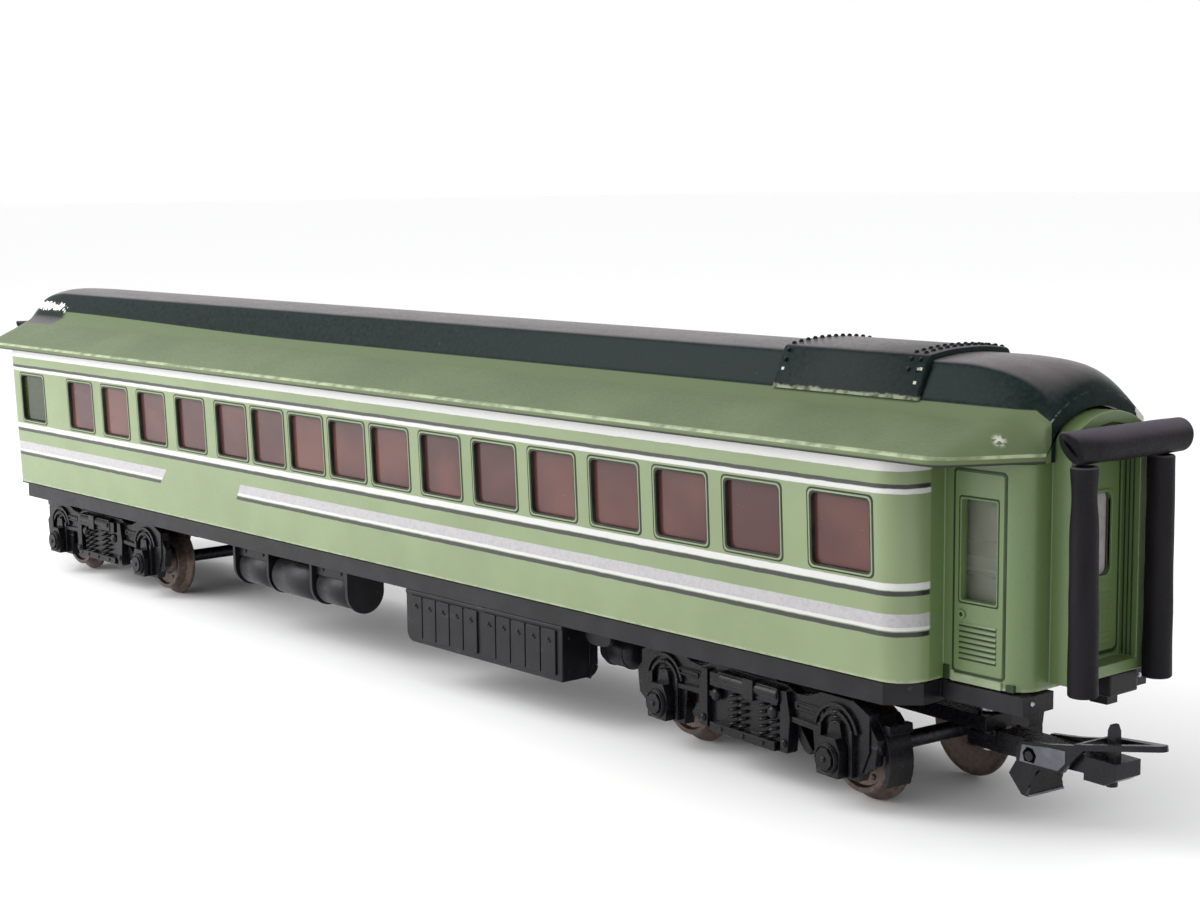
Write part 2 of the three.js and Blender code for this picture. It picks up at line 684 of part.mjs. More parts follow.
function couplerShank() {
  const arm = [[22.6, 6.9], [27.5, 6.8], [shankEnd, 7.3], [shankEnd, 9.1], [27.0, 9.1], [26.5, 8.4],
    [22.6, 8.4]];
  const bar = sidePrism(arm, -shankHalf, shankHalf);
  const head = sidePrism([[38.7, 6.7], [41.3, 6.7], [42.7, 7.5], [42.7, 9.1], [38.7, 9.1]], -1.85, 1.85);
  const thorn = [[40.3, 9.0], [41.5, 9.0], [41.4, 11.9], [41.1, 12.5], [40.7, 12.5], [40.4, 11.9]];
  const prong = sidePrism(thorn, -0.42, 0.42);
  const nub = pinZ(40.7, 0, 6.2, 6.8, 0.6, 12);
  const swivelHole = pinZ(couplerPivot, 0, 0, beyond, 0.95, 16);
  const pinHole = pinY(loopPivot[0], -3, 3, loopPivot[1], 0.62, 12);
  return cut(join(bar, head, prong, nub), swivelHole, pinHole);
}

// Flat plate outlined in (x, y), its underside through (ringStart, z), tilted up towards its tip.
function tiltedPlate(points, hole, z, thickness) {
  const plate = extrude(points, thickness, [hole]).translate(-ringStart, 0, 0);
  return solid(plate.rotateY(-THREE.MathUtils.degToRad(loopTilt)).translate(ringStart, 0, z));
}

function couplerLoop() {
  const [px, pz] = loopPivot;
  const cheek = [[30.4, 6.6], [36.4, 6.9], [37.3, 8.0], [39.2, 9.85], [39.0, 10.3], [34.6, 9.5],
    [31.0, 9.1], [30.3, 8.3]];
  const cheeks = [sidePrism(cheek, -cheekOuter, -cheekInner), sidePrism(cheek, cheekInner, cheekOuter)];
  const tip = arc(loopTip - 0.6, 0, 0.6, -75, 75, 4);
  const w = cheekOuter;
  const outer = [[ringStart, -w], [39.4, -w], ...tip, [39.4, w], [ringStart, w]];
  const h = cheekInner;
  const inner = [[38.6, h], [39.3, h], [45.8, 0], [39.3, -h], [38.6, -h]];
  const ring = tiltedPlate(outer, inner, 9.65, 0.6);
  const heel = [[30.4, 6.5], [29.4, 5.4], [31.2, 3.5], [31.8, 3.5], [31.8, 5.4], [32.6, 6.5]];
  const tail = sidePrism(heel, -2.2, 2.2);
  const drop = [[30.4, 7.0], [29.4, 5.4], [31.2, 3.5], [31.8, 3.5], [32.8, 6.9]];
  const sides = [-1, 1].map((side) => sidePrism(drop, ...sided([cheekInner, cheekOuter], side)));
  const moon = endPrism([[-2.6, 3.5], ...arc(0, 3.5, 2.6, 0, 180, 10).slice(0, -1)], 31.6, 32.2);
  const pinHole = pinY(px, -4, 4, pz, 0.85, 14);
  return cut(join(...cheeks, ...sides, ring, tail, moon), pinHole);
}

function swivelPin() {
  return turned([[0, 6.3], [0.7, 6.3], [0.7, spineZ[1] + 0.1], [1.3, spineZ[1] + 0.1], [1.3, spineZ[1] + 0.6],
    [0, spineZ[1] + 0.6]], 14);
}

function kingPin() {
  return turned([[0, 7.2], [2.4, 7.2], [2.4, bolsterBottom - gap], [pinRadius, bolsterBottom - gap],
    [pinRadius, 14.3], [0, 14.3]], 18);
}

// ---- Both ends ----------------------------------------------------------------------------
let axleNumber = 0;
for (const [end, name] of [[1, 'near'], [-1, 'far']]) {
  const bogie = new THREE.Group();
  bogie.position.x = end * pivotX;
  bogie.rotation.z = THREE.MathUtils.degToRad(restTurn[name]) + (end > 0 ? 0 : Math.PI);
  coach.add(bogie);

  place(`bogie_frame_${name}`, geometryOf(bogieFrame()), materials.black, bogie);
  place(`king_pin_${name}`, kingPin(), materials.steel, bogie);
  for (const [which, x] of [['outer', wheelbase / 2], ['inner', -wheelbase / 2]]) {
    axleNumber += 1;
    place(`axle_${axleNumber}`, axle().translate(x, 0, axleZ), materials.steel, bogie);
    for (const [side, label] of [[-1, 'left'], [1, 'right']]) {
      const geometry = wheel(side).translate(x, 0, axleZ);
      place(`wheel_${axleNumber}_${label}`, geometry, materials.wheel, bogie);
    }
  }
  place(`coupler_shank_${name}`, geometryOf(couplerShank()), materials.black, bogie);
  place(`coupler_loop_${name}`, geometryOf(couplerLoop()), materials.black, bogie);
  place(`coupler_swivel_pin_${name}`, swivelPin().translate(couplerPivot, 0, 0), materials.steel, bogie);
  const loopPin = pinY(loopPivot[0], -2.7, 2.7, loopPivot[1], 0.55, 12);
  place(`coupler_loop_pin_${name}`, geometryOf(loopPin), materials.steel, bogie);
}

export default coach;
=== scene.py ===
"""Small-scale railway passenger coach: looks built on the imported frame. Millimetres in the
helpers, metres in Blender. +X is the near end, -Y the side that faces the camera."""

import json
import math

import bmesh
import bpy
from mathutils import Matrix, Vector, noise


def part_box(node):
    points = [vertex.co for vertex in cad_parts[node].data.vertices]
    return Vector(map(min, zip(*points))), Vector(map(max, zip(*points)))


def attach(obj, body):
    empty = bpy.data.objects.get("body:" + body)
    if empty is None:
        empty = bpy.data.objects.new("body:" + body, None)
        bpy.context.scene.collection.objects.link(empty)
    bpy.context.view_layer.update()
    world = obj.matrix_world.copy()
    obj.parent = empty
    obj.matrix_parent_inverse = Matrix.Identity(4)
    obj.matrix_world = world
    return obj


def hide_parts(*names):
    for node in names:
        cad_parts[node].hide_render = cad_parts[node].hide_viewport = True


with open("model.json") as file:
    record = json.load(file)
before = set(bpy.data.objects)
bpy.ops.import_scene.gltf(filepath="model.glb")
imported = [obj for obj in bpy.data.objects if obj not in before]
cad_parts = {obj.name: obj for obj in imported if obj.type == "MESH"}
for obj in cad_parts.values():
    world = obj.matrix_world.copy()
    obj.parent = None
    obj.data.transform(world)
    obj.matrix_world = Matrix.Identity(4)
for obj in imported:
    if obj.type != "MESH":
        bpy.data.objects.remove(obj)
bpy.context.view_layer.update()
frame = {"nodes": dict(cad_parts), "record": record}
MM = 0.001

# ---- Dimensions shared by several pieces (mm) ----
SHELL_BOTTOM, SHELL_TOP = 15.4, 38.15
SIDE_Y, LEAN, PORCH_Y = 16.25, 0.9, 10.25
WINDOW_Z = (26.15, 34.2)
WINDOW_WIDTH = 8.6
WINDOW_X = [92.7]
for pitch in [12.67] + [11.15] * 6 + [10.0] * 4 + [11.8] * 4:
    WINDOW_X.append(WINDOW_X[-1] - pitch)
LAVATORY_X = -91.3
EAVE_Y, EAVE_Z, LIP = 18.2, 38.2, 0.85
LANTERN_Y, FOOT_Z, CROWN_Z = 8.1, 43.05, 47.65
SHOULDER_Y, SHOULDER_Z = 6.05, 47.15
RIM_X, RIM_TOP, RIM_FOOT = 111.6, 44.0, 41.45
DOME_LENGTH, DOME_CURVE, DOME_BLEND = 11.5, 0.53, 1.5
FOOT_FALL = 4.6
HIP_X, HIP_SOFT, HIP_SLOPE = 106.3, 0.5, 0.95
MOUTH_Y, MOUTH_SPRING, MOUTH_TOP = 6.6, 40.9, 43.2
PIVOT_X, WHEELBASE, AXLE_Z, BOX_Z, WHEEL_BACK_Y = 76.3, 29.5, 5.7, 5.6, 7.0
NEAR_SWIVEL = -5
TUBE_X, TUBE_BORE = 115.05, 0.95
COVER_X, COVER_GROW, COVER_MIDDLE = (74.7, 95.6), 0.6, 85.0
RIVET_START, RIVET_STEP = 0.7, 1.12

# Paint stripes along the side: lowest and highest point of each (mm)
THICK_WHITE, THICK_EDGE, THICK_LINE = (20.85, 22.5), (20.78, 21.15), (20.16, 20.66)
SILL_LINE, SILL_STRIPE = (24.34, 24.84), (24.93, 25.66)
HEAD_STRIPE, HEAD_LINE, EAVE_STRIPE = (34.72, 35.22), (35.27, 35.7), (37.0, 38.3)
BREAK_START, BREAK_END, BREAK_MIDDLE_Z = -48.0, -25.9, 21.5


# ---- Mesh helpers ----
def piece(name, verts, faces, looks, body, slot, replaces=(), sharp=35, bevel=0.0, place=None,
          picks=None):
    """A mesh object from points in mm; faces list indices; picks gives each face's material."""
    mesh = bpy.data.meshes.new(name)
    mesh.from_pydata([[c * MM for c in v] for v in verts], [], faces)
    if place is not None:
        mesh.transform(place)
    looks = looks if isinstance(looks, (list, tuple)) else [looks]
    for look in looks:
        mesh.materials.append(look)
    if picks:
        mesh.polygons.foreach_set("material_index", picks)
    return settle(name, mesh, body, replaces, sharp, bevel)


def settle(name, mesh, body, replaces=(), sharp=35, bevel=0.0):
    """Makes an object of a mesh and tells the frame its body and the nodes it replaces."""
    bm = bmesh.new()
    bm.from_mesh(mesh)
    bmesh.ops.remove_doubles(bm, verts=bm.verts, dist=2e-6)
    bmesh.ops.recalc_face_normals(bm, faces=bm.faces)
    bm.to_mesh(mesh)
    bm.free()
    mesh.polygons.foreach_set("use_smooth", [True] * len(mesh.polygons))
    mesh.set_sharp_from_angle(angle=math.radians(sharp))
    obj = bpy.data.objects.new(name, mesh)
    bpy.context.scene.collection.objects.link(obj)
    if bevel:
        soften(obj, bevel)
    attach(obj, body)
    if replaces:
        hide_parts(*replaces)
    return obj


def soften(obj, width):
    """Rounds the edges by width mm and keeps the flat faces evenly shaded."""
    mod = obj.modifiers.new("soft_edges", "BEVEL")
    mod.width = width * MM
    mod.segments = 2
    mod.limit_method = "ANGLE"
    mod.angle_limit = math.radians(30)
    mod.use_clamp_overlap = True
    even = obj.modifiers.new("even_shading", "WEIGHTED_NORMAL")
    even.keep_sharp = True


def body_of(node):
    for name, members in frame["record"]["behaviour"]["bodies"].items():
        if node in members:
            return name


def refined(node, look, bevel=0.12):
    """A copy of a CAD node with its flat areas merged and its edges rounded."""
    mesh = frame["nodes"][node].data.copy()
    mesh.name = node + "_form"
    mesh.materials.clear()
    mesh.materials.append(look)
    for stored in ("custom_normal", "sharp_edge", "sharp_face"):
        if stored in mesh.attributes:
            mesh.attributes.remove(mesh.attributes[stored])
    bm = bmesh.new()
    bm.from_mesh(mesh)
    bmesh.ops.remove_doubles(bm, verts=bm.verts, dist=3e-6)
    bmesh.ops.dissolve_limit(bm, angle_limit=math.radians(1.5), verts=bm.verts, edges=bm.edges)
    bm.to_mesh(mesh)
    bm.free()
    return settle(node + "_form", mesh, body_of(node), [node], bevel=bevel)


def grid(rows, columns, closed=False):
    """Quads between neighbouring rows of points; each row is a loop, and so are the rows if closed."""
    faces = []
    for r in range(rows if closed else rows - 1):
        near, far = r * columns, (r + 1) % rows * columns
        for c in range(columns):
            d = (c + 1) % columns
            faces.append([near + c, near + d, far + d, far + c])
    return faces


class Build:
    """Collects several closed forms into one mesh."""

    def __init__(self):
        self.verts, self.faces, self.picks = [], [], None

    def add(self, verts, faces):
        base = len(self.verts)
        self.verts += [tuple(v) for v in verts]
        self.faces += [[base + i for i in f] for f in faces]

    def prism(self, points, lo, hi, axis=1):
        """Outline of 2-D points swept from lo to hi along an axis; the points hold the other two."""
        n = len(points)
        ends = [insert(p, axis, t) for t in (lo, hi) for p in points]
        self.add(ends, grid(2, n) + [list(range(n)), list(range(n, 2 * n))])

    def relief(self, points, side, lo, hi):
        """Outline swept outwards on one side of the coach, from lo to hi mm off its middle."""
        self.prism(points, side * lo, side * hi)

    def box(self, x0, x1, y0, y1, z0, z1):
        self.prism(corners(x0, x1, z0, z1), y0, y1)

    def ring(self, outer, inner, lo, hi, axis=1):
        """Frame between two outlines with the same number of points."""
        walls = ((outer, lo), (outer, hi), (inner, hi), (inner, lo))
        rows = [[insert(p, axis, t) for p in outline] for outline, t in walls]
        self.add(sum(rows, []), grid(4, len(outer), closed=True))

    def loft(self, rings, caps=True):
        """Skin over rings with the same number of points, with flat ends unless caps is off."""
        n = len(rings[0])
        faces = grid(len(rings), n)
        if caps:
            last = (len(rings) - 1) * n
            faces += [list(range(n)), list(range(last, last + n))]
        self.add(sum(rings, []), faces)

    def lathe(self, profile, centre, axis=1, steps=48):
        """Profile of (radius, place along the axis) pairs, closed, turned about an axis."""
        rings = []
        for k in range(steps):
            a = 2 * math.pi * k / steps
            c, s = math.cos(a), math.sin(a)
            rings.append([shift(insert((r * c, r * s), axis, h), centre) for r, h in profile])
        self.add(sum(rings, []), grid(steps, len(profile), closed=True))

    def dome(self, centre, normal, radius, height, steps=10):
        """Low round head, such as a rivet or a screw, standing on a surface."""
        n = Vector(normal).normalized()
        u = n.orthogonal().normalized()
        w = n.cross(u)
        rings = []
        turns = [2 * math.pi * k / steps for k in range(steps)]
        for r, h in ((1.0, -0.4), (1.0, 0.15), (0.86, 0.6), (0.5, 0.92)):
            foot = Vector(centre) + n * h * height
            rings.append([tuple(foot + (u * math.cos(a) + w * math.sin(a)) * r * radius) for a in turns])
        self.loft(rings)

    def coil(self, centre, radius, wire, turns, z0, z1, steps=14):
        """Upright wire spring from z0 to z1."""
        rings = []
        count = int(turns * steps)
        for k in range(count + 1):
            a = 2 * math.pi * k / steps
            z = z0 + (z1 - z0) * k / count
            out = Vector((math.cos(a), math.sin(a), 0))
            mid = Vector(centre) + out * radius + Vector((0, 0, z))
            rings.append([tuple(mid + out * wire * math.cos(b) + Vector((0, 0, wire * math.sin(b))))
                          for b in (2 * math.pi * j / 6 for j in range(6))])
        self.loft(rings)

    def make(self, name, looks, body, slot, **kw):
        return piece(name, self.verts, self.faces, looks, body, slot, picks=self.picks, **kw)


def insert(p, axis, t):
    """2-D point and a place along an axis to 3-D."""
    return [(t, p[0], p[1]), (p[0], t, p[1]), (p[0], p[1], t)][axis]


def corners(x0, x1, z0, z1):
    return [(x0, z0), (x1, z0), (x1, z1), (x0, z1)]


def flipped(points, sign):
    """Outline turned over end for end where sign is -1."""
    return [(sign * x, z) for x, z in points]


def shift(p, q):
    return tuple(a + b for a, b in zip(p, q))


def arc(cx, cy, r, a0, a1, n):
    return [(cx + r * math.cos(math.radians(a0 + (a1 - a0) * i / n)),
             cy + r * math.sin(math.radians(a0 + (a1 - a0) * i / n))) for i in range(n + 1)]


def rounded(x0, x1, z0, z1, r, n=4):
    """Rectangle with rounded corners."""
    return (arc(x1 - r, z1 - r, r, 0, 90, n) + arc(x0 + r, z1 - r, r, 90, 180, n)
            + arc(x0 + r, z0 + r, r, 180, 270, n) + arc(x1 - r, z0 + r, r, 270, 360, n))


def turn(degrees, x=0.0):
    return Matrix.Translation((x * MM, 0, 0)) @ Matrix.Rotation(math.radians(degrees), 4, "Z")


# ---- Materials ----
def rgb(code, alpha=1.0):
    """Linear colour from an sRGB hex number."""
    parts = [((code >> s) & 255) / 255 for s in (16, 8, 0)]
    return tuple(c / 12.92 if c < 0.04045 else ((c + 0.055) / 1.055) ** 2.4 for c in parts) + (alpha,)


class Look:
    """One procedural material. Positions inside it are in mm, in the row frame."""

    def __init__(self, name, rough=0.5, metal=0.0, coat=0.0, coat_rough=0.1, spec=0.5):
        self.mat = bpy.data.materials.new(name)
        self.mat.use_nodes = True
        self.tree = self.mat.node_tree
        self.bsdf = self.tree.nodes["Principled BSDF"]
        self.bsdf.inputs["Roughness"].default_value = rough
        self.bsdf.inputs["Metallic"].default_value = metal
        self.bsdf.inputs["Coat Weight"].default_value = coat
        self.bsdf.inputs["Coat Roughness"].default_value = coat_rough
        self.bsdf.inputs["Specular IOR Level"].default_value = spec
        coord = self.tree.nodes.new("ShaderNodeTexCoord")
        self.pos = self.vector("MULTIPLY", coord.outputs["Object"], (1000, 1000, 1000))
        split = self.tree.nodes.new("ShaderNodeSeparateXYZ")
        self.tree.links.new(self.pos, split.inputs[0])
        self.x, self.y, self.z = split.outputs

    def feed(self, socket, value):
        if hasattr(value, "is_output"):
            self.tree.links.new(value, socket)
        else:
            socket.default_value = value

    def vector(self, op, a, b):
        node = self.tree.nodes.new("ShaderNodeVectorMath")
        node.operation = op
        self.feed(node.inputs[0], a)
        self.feed(node.inputs[1], b)
        return node.outputs[0]

    def math(self, op, a, b=0.0):
        node = self.tree.nodes.new("ShaderNodeMath")
        node.operation = op
        self.feed(node.inputs[0], a)
        self.feed(node.inputs[1], b)
        return node.outputs[0]

    def times(self, *values):
        total = values[0]
        for value in values[1:]:
            total = self.math("MULTIPLY", total, value)
        return total

    def ramp(self, value, lo, hi, a=0.0, b=1.0):
        """Smooth step from a to b as value goes from lo to hi."""
        node = self.tree.nodes.new("ShaderNodeMapRange")
        node.interpolation_type = "SMOOTHSTEP"
        for socket, v in zip(node.inputs, (value, lo, hi, a, b)):
            self.feed(socket, v)
        return node.outputs[0]

    def band(self, value, lo, hi, soft=0.05):
        """1 between lo and hi, 0 outside them."""
        rising = self.ramp(value, lo - soft, lo + soft)
        return self.times(rising, self.ramp(value, hi - soft, hi + soft, 1.0, 0.0))

    def noise(self, scale, detail=4.0, stretch=(1, 1, 1), rough=0.55):
        node = self.tree.nodes.new("ShaderNodeTexNoise")
        node.inputs["Scale"].default_value = scale
        node.inputs["Detail"].default_value = detail
        node.inputs["Roughness"].default_value = rough
        self.tree.links.new(self.vector("MULTIPLY", self.pos, stretch), node.inputs["Vector"])
        return node.outputs[0]

    def mix(self, fac, a, b):
        node = self.tree.nodes.new("ShaderNodeMix")
        node.data_type = "RGBA"
        self.feed(node.inputs[0], fac)
        self.feed(node.inputs[6], a)
        self.feed(node.inputs[7], b)
        return node.outputs[2]

    def bump(self, height, distance, strength=1.0):
        node = self.tree.nodes.new("ShaderNodeBump")
        node.inputs["Strength"].default_value = strength
        node.inputs["Distance"].default_value = distance * MM
        self.feed(node.inputs["Height"], height)
        return node.outputs[0]

    def distance(self, point):
        """Distance in mm from a point."""
        node = self.tree.nodes.new("ShaderNodeVectorMath")
        node.operation = "DISTANCE"
        self.feed(node.inputs[0], self.pos)
        node.inputs[1].default_value = point
        return node.outputs["Value"]

    def up(self):
        """The normal's upward share: 1 on faces that look up, 0 on upright ones."""
        geometry = self.tree.nodes.new("ShaderNodeNewGeometry")
        split = self.tree.nodes.new("ShaderNodeSeparateXYZ")
        self.tree.links.new(geometry.outputs["Normal"], split.inputs[0])
        return split.outputs[2]

    def done(self, color, rough=None, normal=None):
        self.feed(self.bsdf.inputs["Base Color"], color)
        if rough is not None:
            self.feed(self.bsdf.inputs["Roughness"], rough)
        if normal is not None:
            self.tree.links.new(normal, self.bsdf.inputs["Normal"])
        return self.mat


# The darker end green is painted shade for the coach ends and door columns.
GREEN, GREEN_SHADE, SHADED_END_GREEN = rgb(0x73835C), rgb(0x6C7B55), rgb(0x586D42)
STRIPE_WHITE, STRIPE_BLACK = rgb(0xA09EA0), rgb(0x10110F)


def body_paint():
    look = Look("striped_green_paint", coat=0.25, coat_rough=0.22)
    mottle = look.noise(0.06, 3)
    grain = look.noise(2.2, 6, rough=0.7)
    green = look.mix(look.ramp(mottle, 0.35, 0.65), GREEN, GREEN_SHADE)
    green = look.mix(look.ramp(grain, 0.6, 0.8, 0.0, 0.4), green, rgb(0x5D6A49))
    # Ends and set-back door columns, nearer than 12.4 mm to the middle, take the darker green: painted shade
    # of the recessed corners.
    far_side = look.math("ABSOLUTE", look.y)
    on_side = look.ramp(far_side, 12.2, 12.6)
    shaded_end_green = look.mix(look.ramp(grain, 0.5, 0.8, 0.0, 0.5), SHADED_END_GREEN, rgb(0x4D5F3D))
    green = look.mix(on_side, shaded_end_green, green)
    along = look.times(look.x, look.math("SIGN", look.y), -1.0)
    wobble = look.math("ADD", look.z, look.times(look.math("SUBTRACT", look.noise(0.5, 2), 0.5), 0.14))
    lean_z = look.math("SUBTRACT", wobble, BREAK_MIDDLE_Z)
    start = look.math("ADD", along, look.times(lean_z, -0.9))
    finish = look.math("SUBTRACT", along, look.times(lean_z, 0.6))
    gap_lo = look.ramp(start, BREAK_START - 0.1, BREAK_START + 0.1)
    gap_hi = look.ramp(finish, BREAK_END - 0.1, BREAK_END + 0.1, 1.0, 0.0)
    outside = look.math("SUBTRACT", 1.0, look.times(gap_lo, gap_hi))
    white = look.mix(look.ramp(grain, 0.4, 0.75), STRIPE_WHITE, rgb(0x929092))
    black = look.mix(look.ramp(look.noise(3.5, 3), 0.55, 0.8, 0.0, 0.3), STRIPE_BLACK, rgb(0x4A4F42))
    bright = look.mix(0.65, white, rgb(0xCBCBC9))
    low = look.times(on_side, outside)
    color = green
    stripes = ((THICK_WHITE, white, low), (THICK_EDGE, bright, low), (THICK_LINE, black, low),
               (SILL_LINE, black, on_side), (SILL_STRIPE, bright, on_side),
               (HEAD_STRIPE, bright, on_side), (HEAD_LINE, black, on_side), (EAVE_STRIPE, bright, on_side))
    for (z0, z1), paint, mask in stripes:
        color = look.mix(look.times(look.band(wobble, z0, z1), mask), color, paint)
    # Pale, patchy band along the shell's bottom edge: painted highlight.
    foot = look.ramp(look.z, SHELL_BOTTOM, SHELL_BOTTOM + 0.45, 1.0, 0.0)
    foot_highlight = look.times(foot, look.ramp(look.noise(0.7, 3), 0.3, 0.6))
    color = look.mix(look.times(foot_highlight, 0.7), color, rgb(0xA0A68E))
    rough = look.ramp(grain, 0.3, 0.8, 0.36, 0.54)
    return look.done(color, rough, look.bump(grain, 0.03, 0.5))


def roof_green_paint():
    look = Look("roof_green_paint", coat=0.05, coat_rough=0.3, spec=0.3)
    mottle = look.noise(0.08, 3)
    grain = look.noise(2.0, 6, rough=0.7)
    color = look.mix(look.ramp(mottle, 0.3, 0.7), rgb(0x5A6745), rgb(0x505E3D))
    color = look.mix(look.ramp(grain, 0.55, 0.8, 0.0, 0.5), color, rgb(0x404D2F))
    # Pale broken line along the top of the eave lip: partly worn paint, partly painted highlight.
    edge = look.times(look.band(look.z, 38.85, 39.16), look.ramp(look.noise(0.5, 5), 0.35, 0.6, 0.25, 1.0))
    color = look.mix(edge, color, rgb(0x9CA687))
    # Near-black on the lip's underside: painted shade of the gap under the eave.
    under = look.ramp(look.z, 38.35, 38.5, 1.0, 0.0)
    color = look.mix(under, color, rgb(0x1E221A))
    # Pale noisy patch on the near roof corner: painted glint.
    glint_spot = look.ramp(look.distance((108.2, -11.2, 40.1)), 0.45, 1.1, 1.0, 0.0)
    pale_fleck = look.times(glint_spot, look.ramp(look.noise(1.6, 4, (1, 1, 2)), 0.46, 0.5))
    color = look.mix(pale_fleck, color, rgb(0xC4C7BC))
    return look.done(color, look.ramp(grain, 0.3, 0.8, 0.4, 0.56), look.bump(grain, 0.04, 0.5))


def lantern_paint():
    look = Look("dark_roof_gloss", spec=0.05)
    grain = look.noise(1.6, 5, rough=0.65)
    dust = look.noise(0.35, 5, (0.4, 1, 1))
    color = look.mix(look.ramp(grain, 0.35, 0.7), rgb(0x0F1B19), rgb(0x1A2624))
    # Paler on faces that look up: settled dust and painted sheen of the top.
    dust_and_sheen = look.times(look.ramp(dust, 0.3, 0.75, 0.42, 0.6), look.ramp(look.up(), 0.6, 0.97))
    color = look.mix(dust_and_sheen, color, rgb(0x7E7678))
    specks = look.ramp(look.noise(2.4, 2), 0.76, 0.8)
    color = look.mix(specks, color, rgb(0x646A62))
    rise = look.ramp(look.x, -100.0, -20.0, 0.95, 0.0)
    side = look.ramp(look.math("ABSOLUTE", look.y), 7.2, 7.3)
    line = look.math("SUBTRACT", look.math("SUBTRACT", look.z, rise), FOOT_Z)
    low = look.times(look.ramp(line, 0.05, 0.2, 1.0, 0.0), side, look.ramp(look.x, -98.0, -96.0))
    color = look.mix(low, color, rgb(0x5B684C))
    # Pale flecked patches: one on the far dome's near side, and one at the near rim's foot on the +Y side,
    # which is a painted highlight.
    far = look.times(look.band(look.x, -110.0, -97.5, 2.5), look.band(look.z, 44.1, 45.5, 0.6),
                     look.ramp(look.y, -6.0, -5.5, 1.0, 0.0))
    near = look.ramp(look.distance((111.3, 8.2, 42.3)), 1.1, 2.3, 1.0, 0.0)
    patch_and_glint = look.math("MAXIMUM", far, near)
    pale_flecks = look.ramp(look.math("ADD", look.noise(1.1, 5), look.times(patch_and_glint, 0.32)), 0.68, 0.73)
    color = look.mix(look.times(pale_flecks, look.ramp(patch_and_glint, 0.05, 0.3)), color, rgb(0xCFCFC9))
    rim = look.ramp(look.math("ABSOLUTE", look.x), RIM_X - 0.2, RIM_X - 0.12)
    rim = look.times(rim, look.ramp(look.up(), 0.3, 0.5), look.ramp(look.noise(0.9, 4), 0.45, 0.62, 0.0, 0.8))
    color = look.mix(rim, color, rgb(0x8F938A))
    return look.done(color, look.ramp(grain, 0.3, 0.8, 0.27, 0.42), look.bump(grain, 0.03, 0.35))


def cover_paint():
    look = Look("dark_cover_gloss", spec=0.05)
    grain = look.noise(1.8, 5, rough=0.65)
    color = look.mix(look.ramp(grain, 0.35, 0.7), rgb(0x0E1817), rgb(0x1B2524))
    # Paler on faces that look up: settled dust and painted sheen of the top.
    dust_and_sheen = look.times(look.ramp(look.up(), 0.6, 0.95), look.ramp(look.noise(0.4, 5), 0.3, 0.75, 0.36, 0.52))
    color = look.mix(dust_and_sheen, color, rgb(0x746C6E))
    ragged = look.math("ADD", look.z, look.times(look.math("SUBTRACT", look.noise(0.8, 5), 0.5), 0.9))
    foot = look.ramp(ragged, FOOT_Z + 0.35, FOOT_Z + 0.6, 1.0, 0.0)
    bare = look.times(foot, look.ramp(look.noise(0.9, 4), 0.35, 0.6, 0.2, 1.0))
    color = look.mix(bare, color, rgb(0x7F866F))
    for x, z in ((94.6, 44.9), (94.9, 46.3), (75.6, 45.2)):
        pale_fleck = look.times(look.band(look.x, x - 0.2, x + 0.2), look.band(look.z, z - 0.15, z + 0.15))
        color = look.mix(look.times(pale_fleck, look.ramp(look.y, -6.0, -5.9, 1.0, 0.0)), color, rgb(0xB4B6AE))
    return look.done(color, look.ramp(grain, 0.3, 0.8, 0.27, 0.42), look.bump(grain, 0.03, 0.4))


def plastic(name, dark, light, rough=(0.32, 0.55), dust=0.3, grain_scale=2.0, spec=0.24):
    """Moulded plastic with a mould grain, paler rubbed patches and dust on what looks up."""
    look = Look(name, spec=spec)
    grain = look.noise(grain_scale, 6, rough=0.7)
    patch = look.noise(0.25, 4)
    color = look.mix(look.ramp(patch, 0.35, 0.7), dark, light)
    settled = look.times(look.ramp(look.up(), 0.5, 1.0), look.ramp(grain, 0.35, 0.75), dust)
    color = look.mix(settled, color, rgb(0x8D8A86))
    scuff = look.ramp(look.noise(0.9, 6, (0.25, 1, 1)), 0.64, 0.74, 0.0, 0.35)
    color = look.mix(scuff, color, rgb(0x4B494E))
    return look.done(color, look.ramp(grain, 0.3, 0.8, *rough), look.bump(grain, 0.02, 0.35))


def rubber():
    look = Look("gangway_rubber", spec=0.14)
    grain = look.noise(3.0, 6, rough=0.75)
    streak = look.noise(0.5, 4, (1, 1, 0.15))
    color = look.mix(look.ramp(streak, 0.3, 0.7), rgb(0x0F0D11), rgb(0x19161B))
    # Paler on faces that look up: painted highlight on the tube tops.
    color = look.mix(look.times(look.ramp(look.up(), 0.1, 0.9), 0.75), color, rgb(0x564F59))
    return look.done(color, look.ramp(grain, 0.3, 0.8, 0.5, 0.75), look.bump(grain, 0.03, 0.6))


def window_glass():
    look = Look("tinted_pane", spec=0.3)
    fade = look.ramp(look.z, WINDOW_Z[0], WINDOW_Z[1])
    cloud = look.noise(0.07, 2)
    color = look.mix(look.ramp(cloud, 0.4, 0.65), rgb(0x462A29), rgb(0x5E3A35))
    color = look.mix(look.times(fade, 0.35), color, rgb(0x3E2E28))
    lavatory = look.ramp(look.times(look.x, look.math("SIGN", look.y), -1.0), -84.5, -84.0, 1.0, 0.0)
    color = look.mix(lavatory, color, look.mix(fade, rgb(0x1B270A), rgb(0x2B3418)))
    smear = look.noise(0.8, 5, (0.4, 1, 1.5))
    return look.done(color, look.ramp(smear, 0.3, 0.8, 0.12, 0.3), look.bump(smear, 0.02, 0.2))


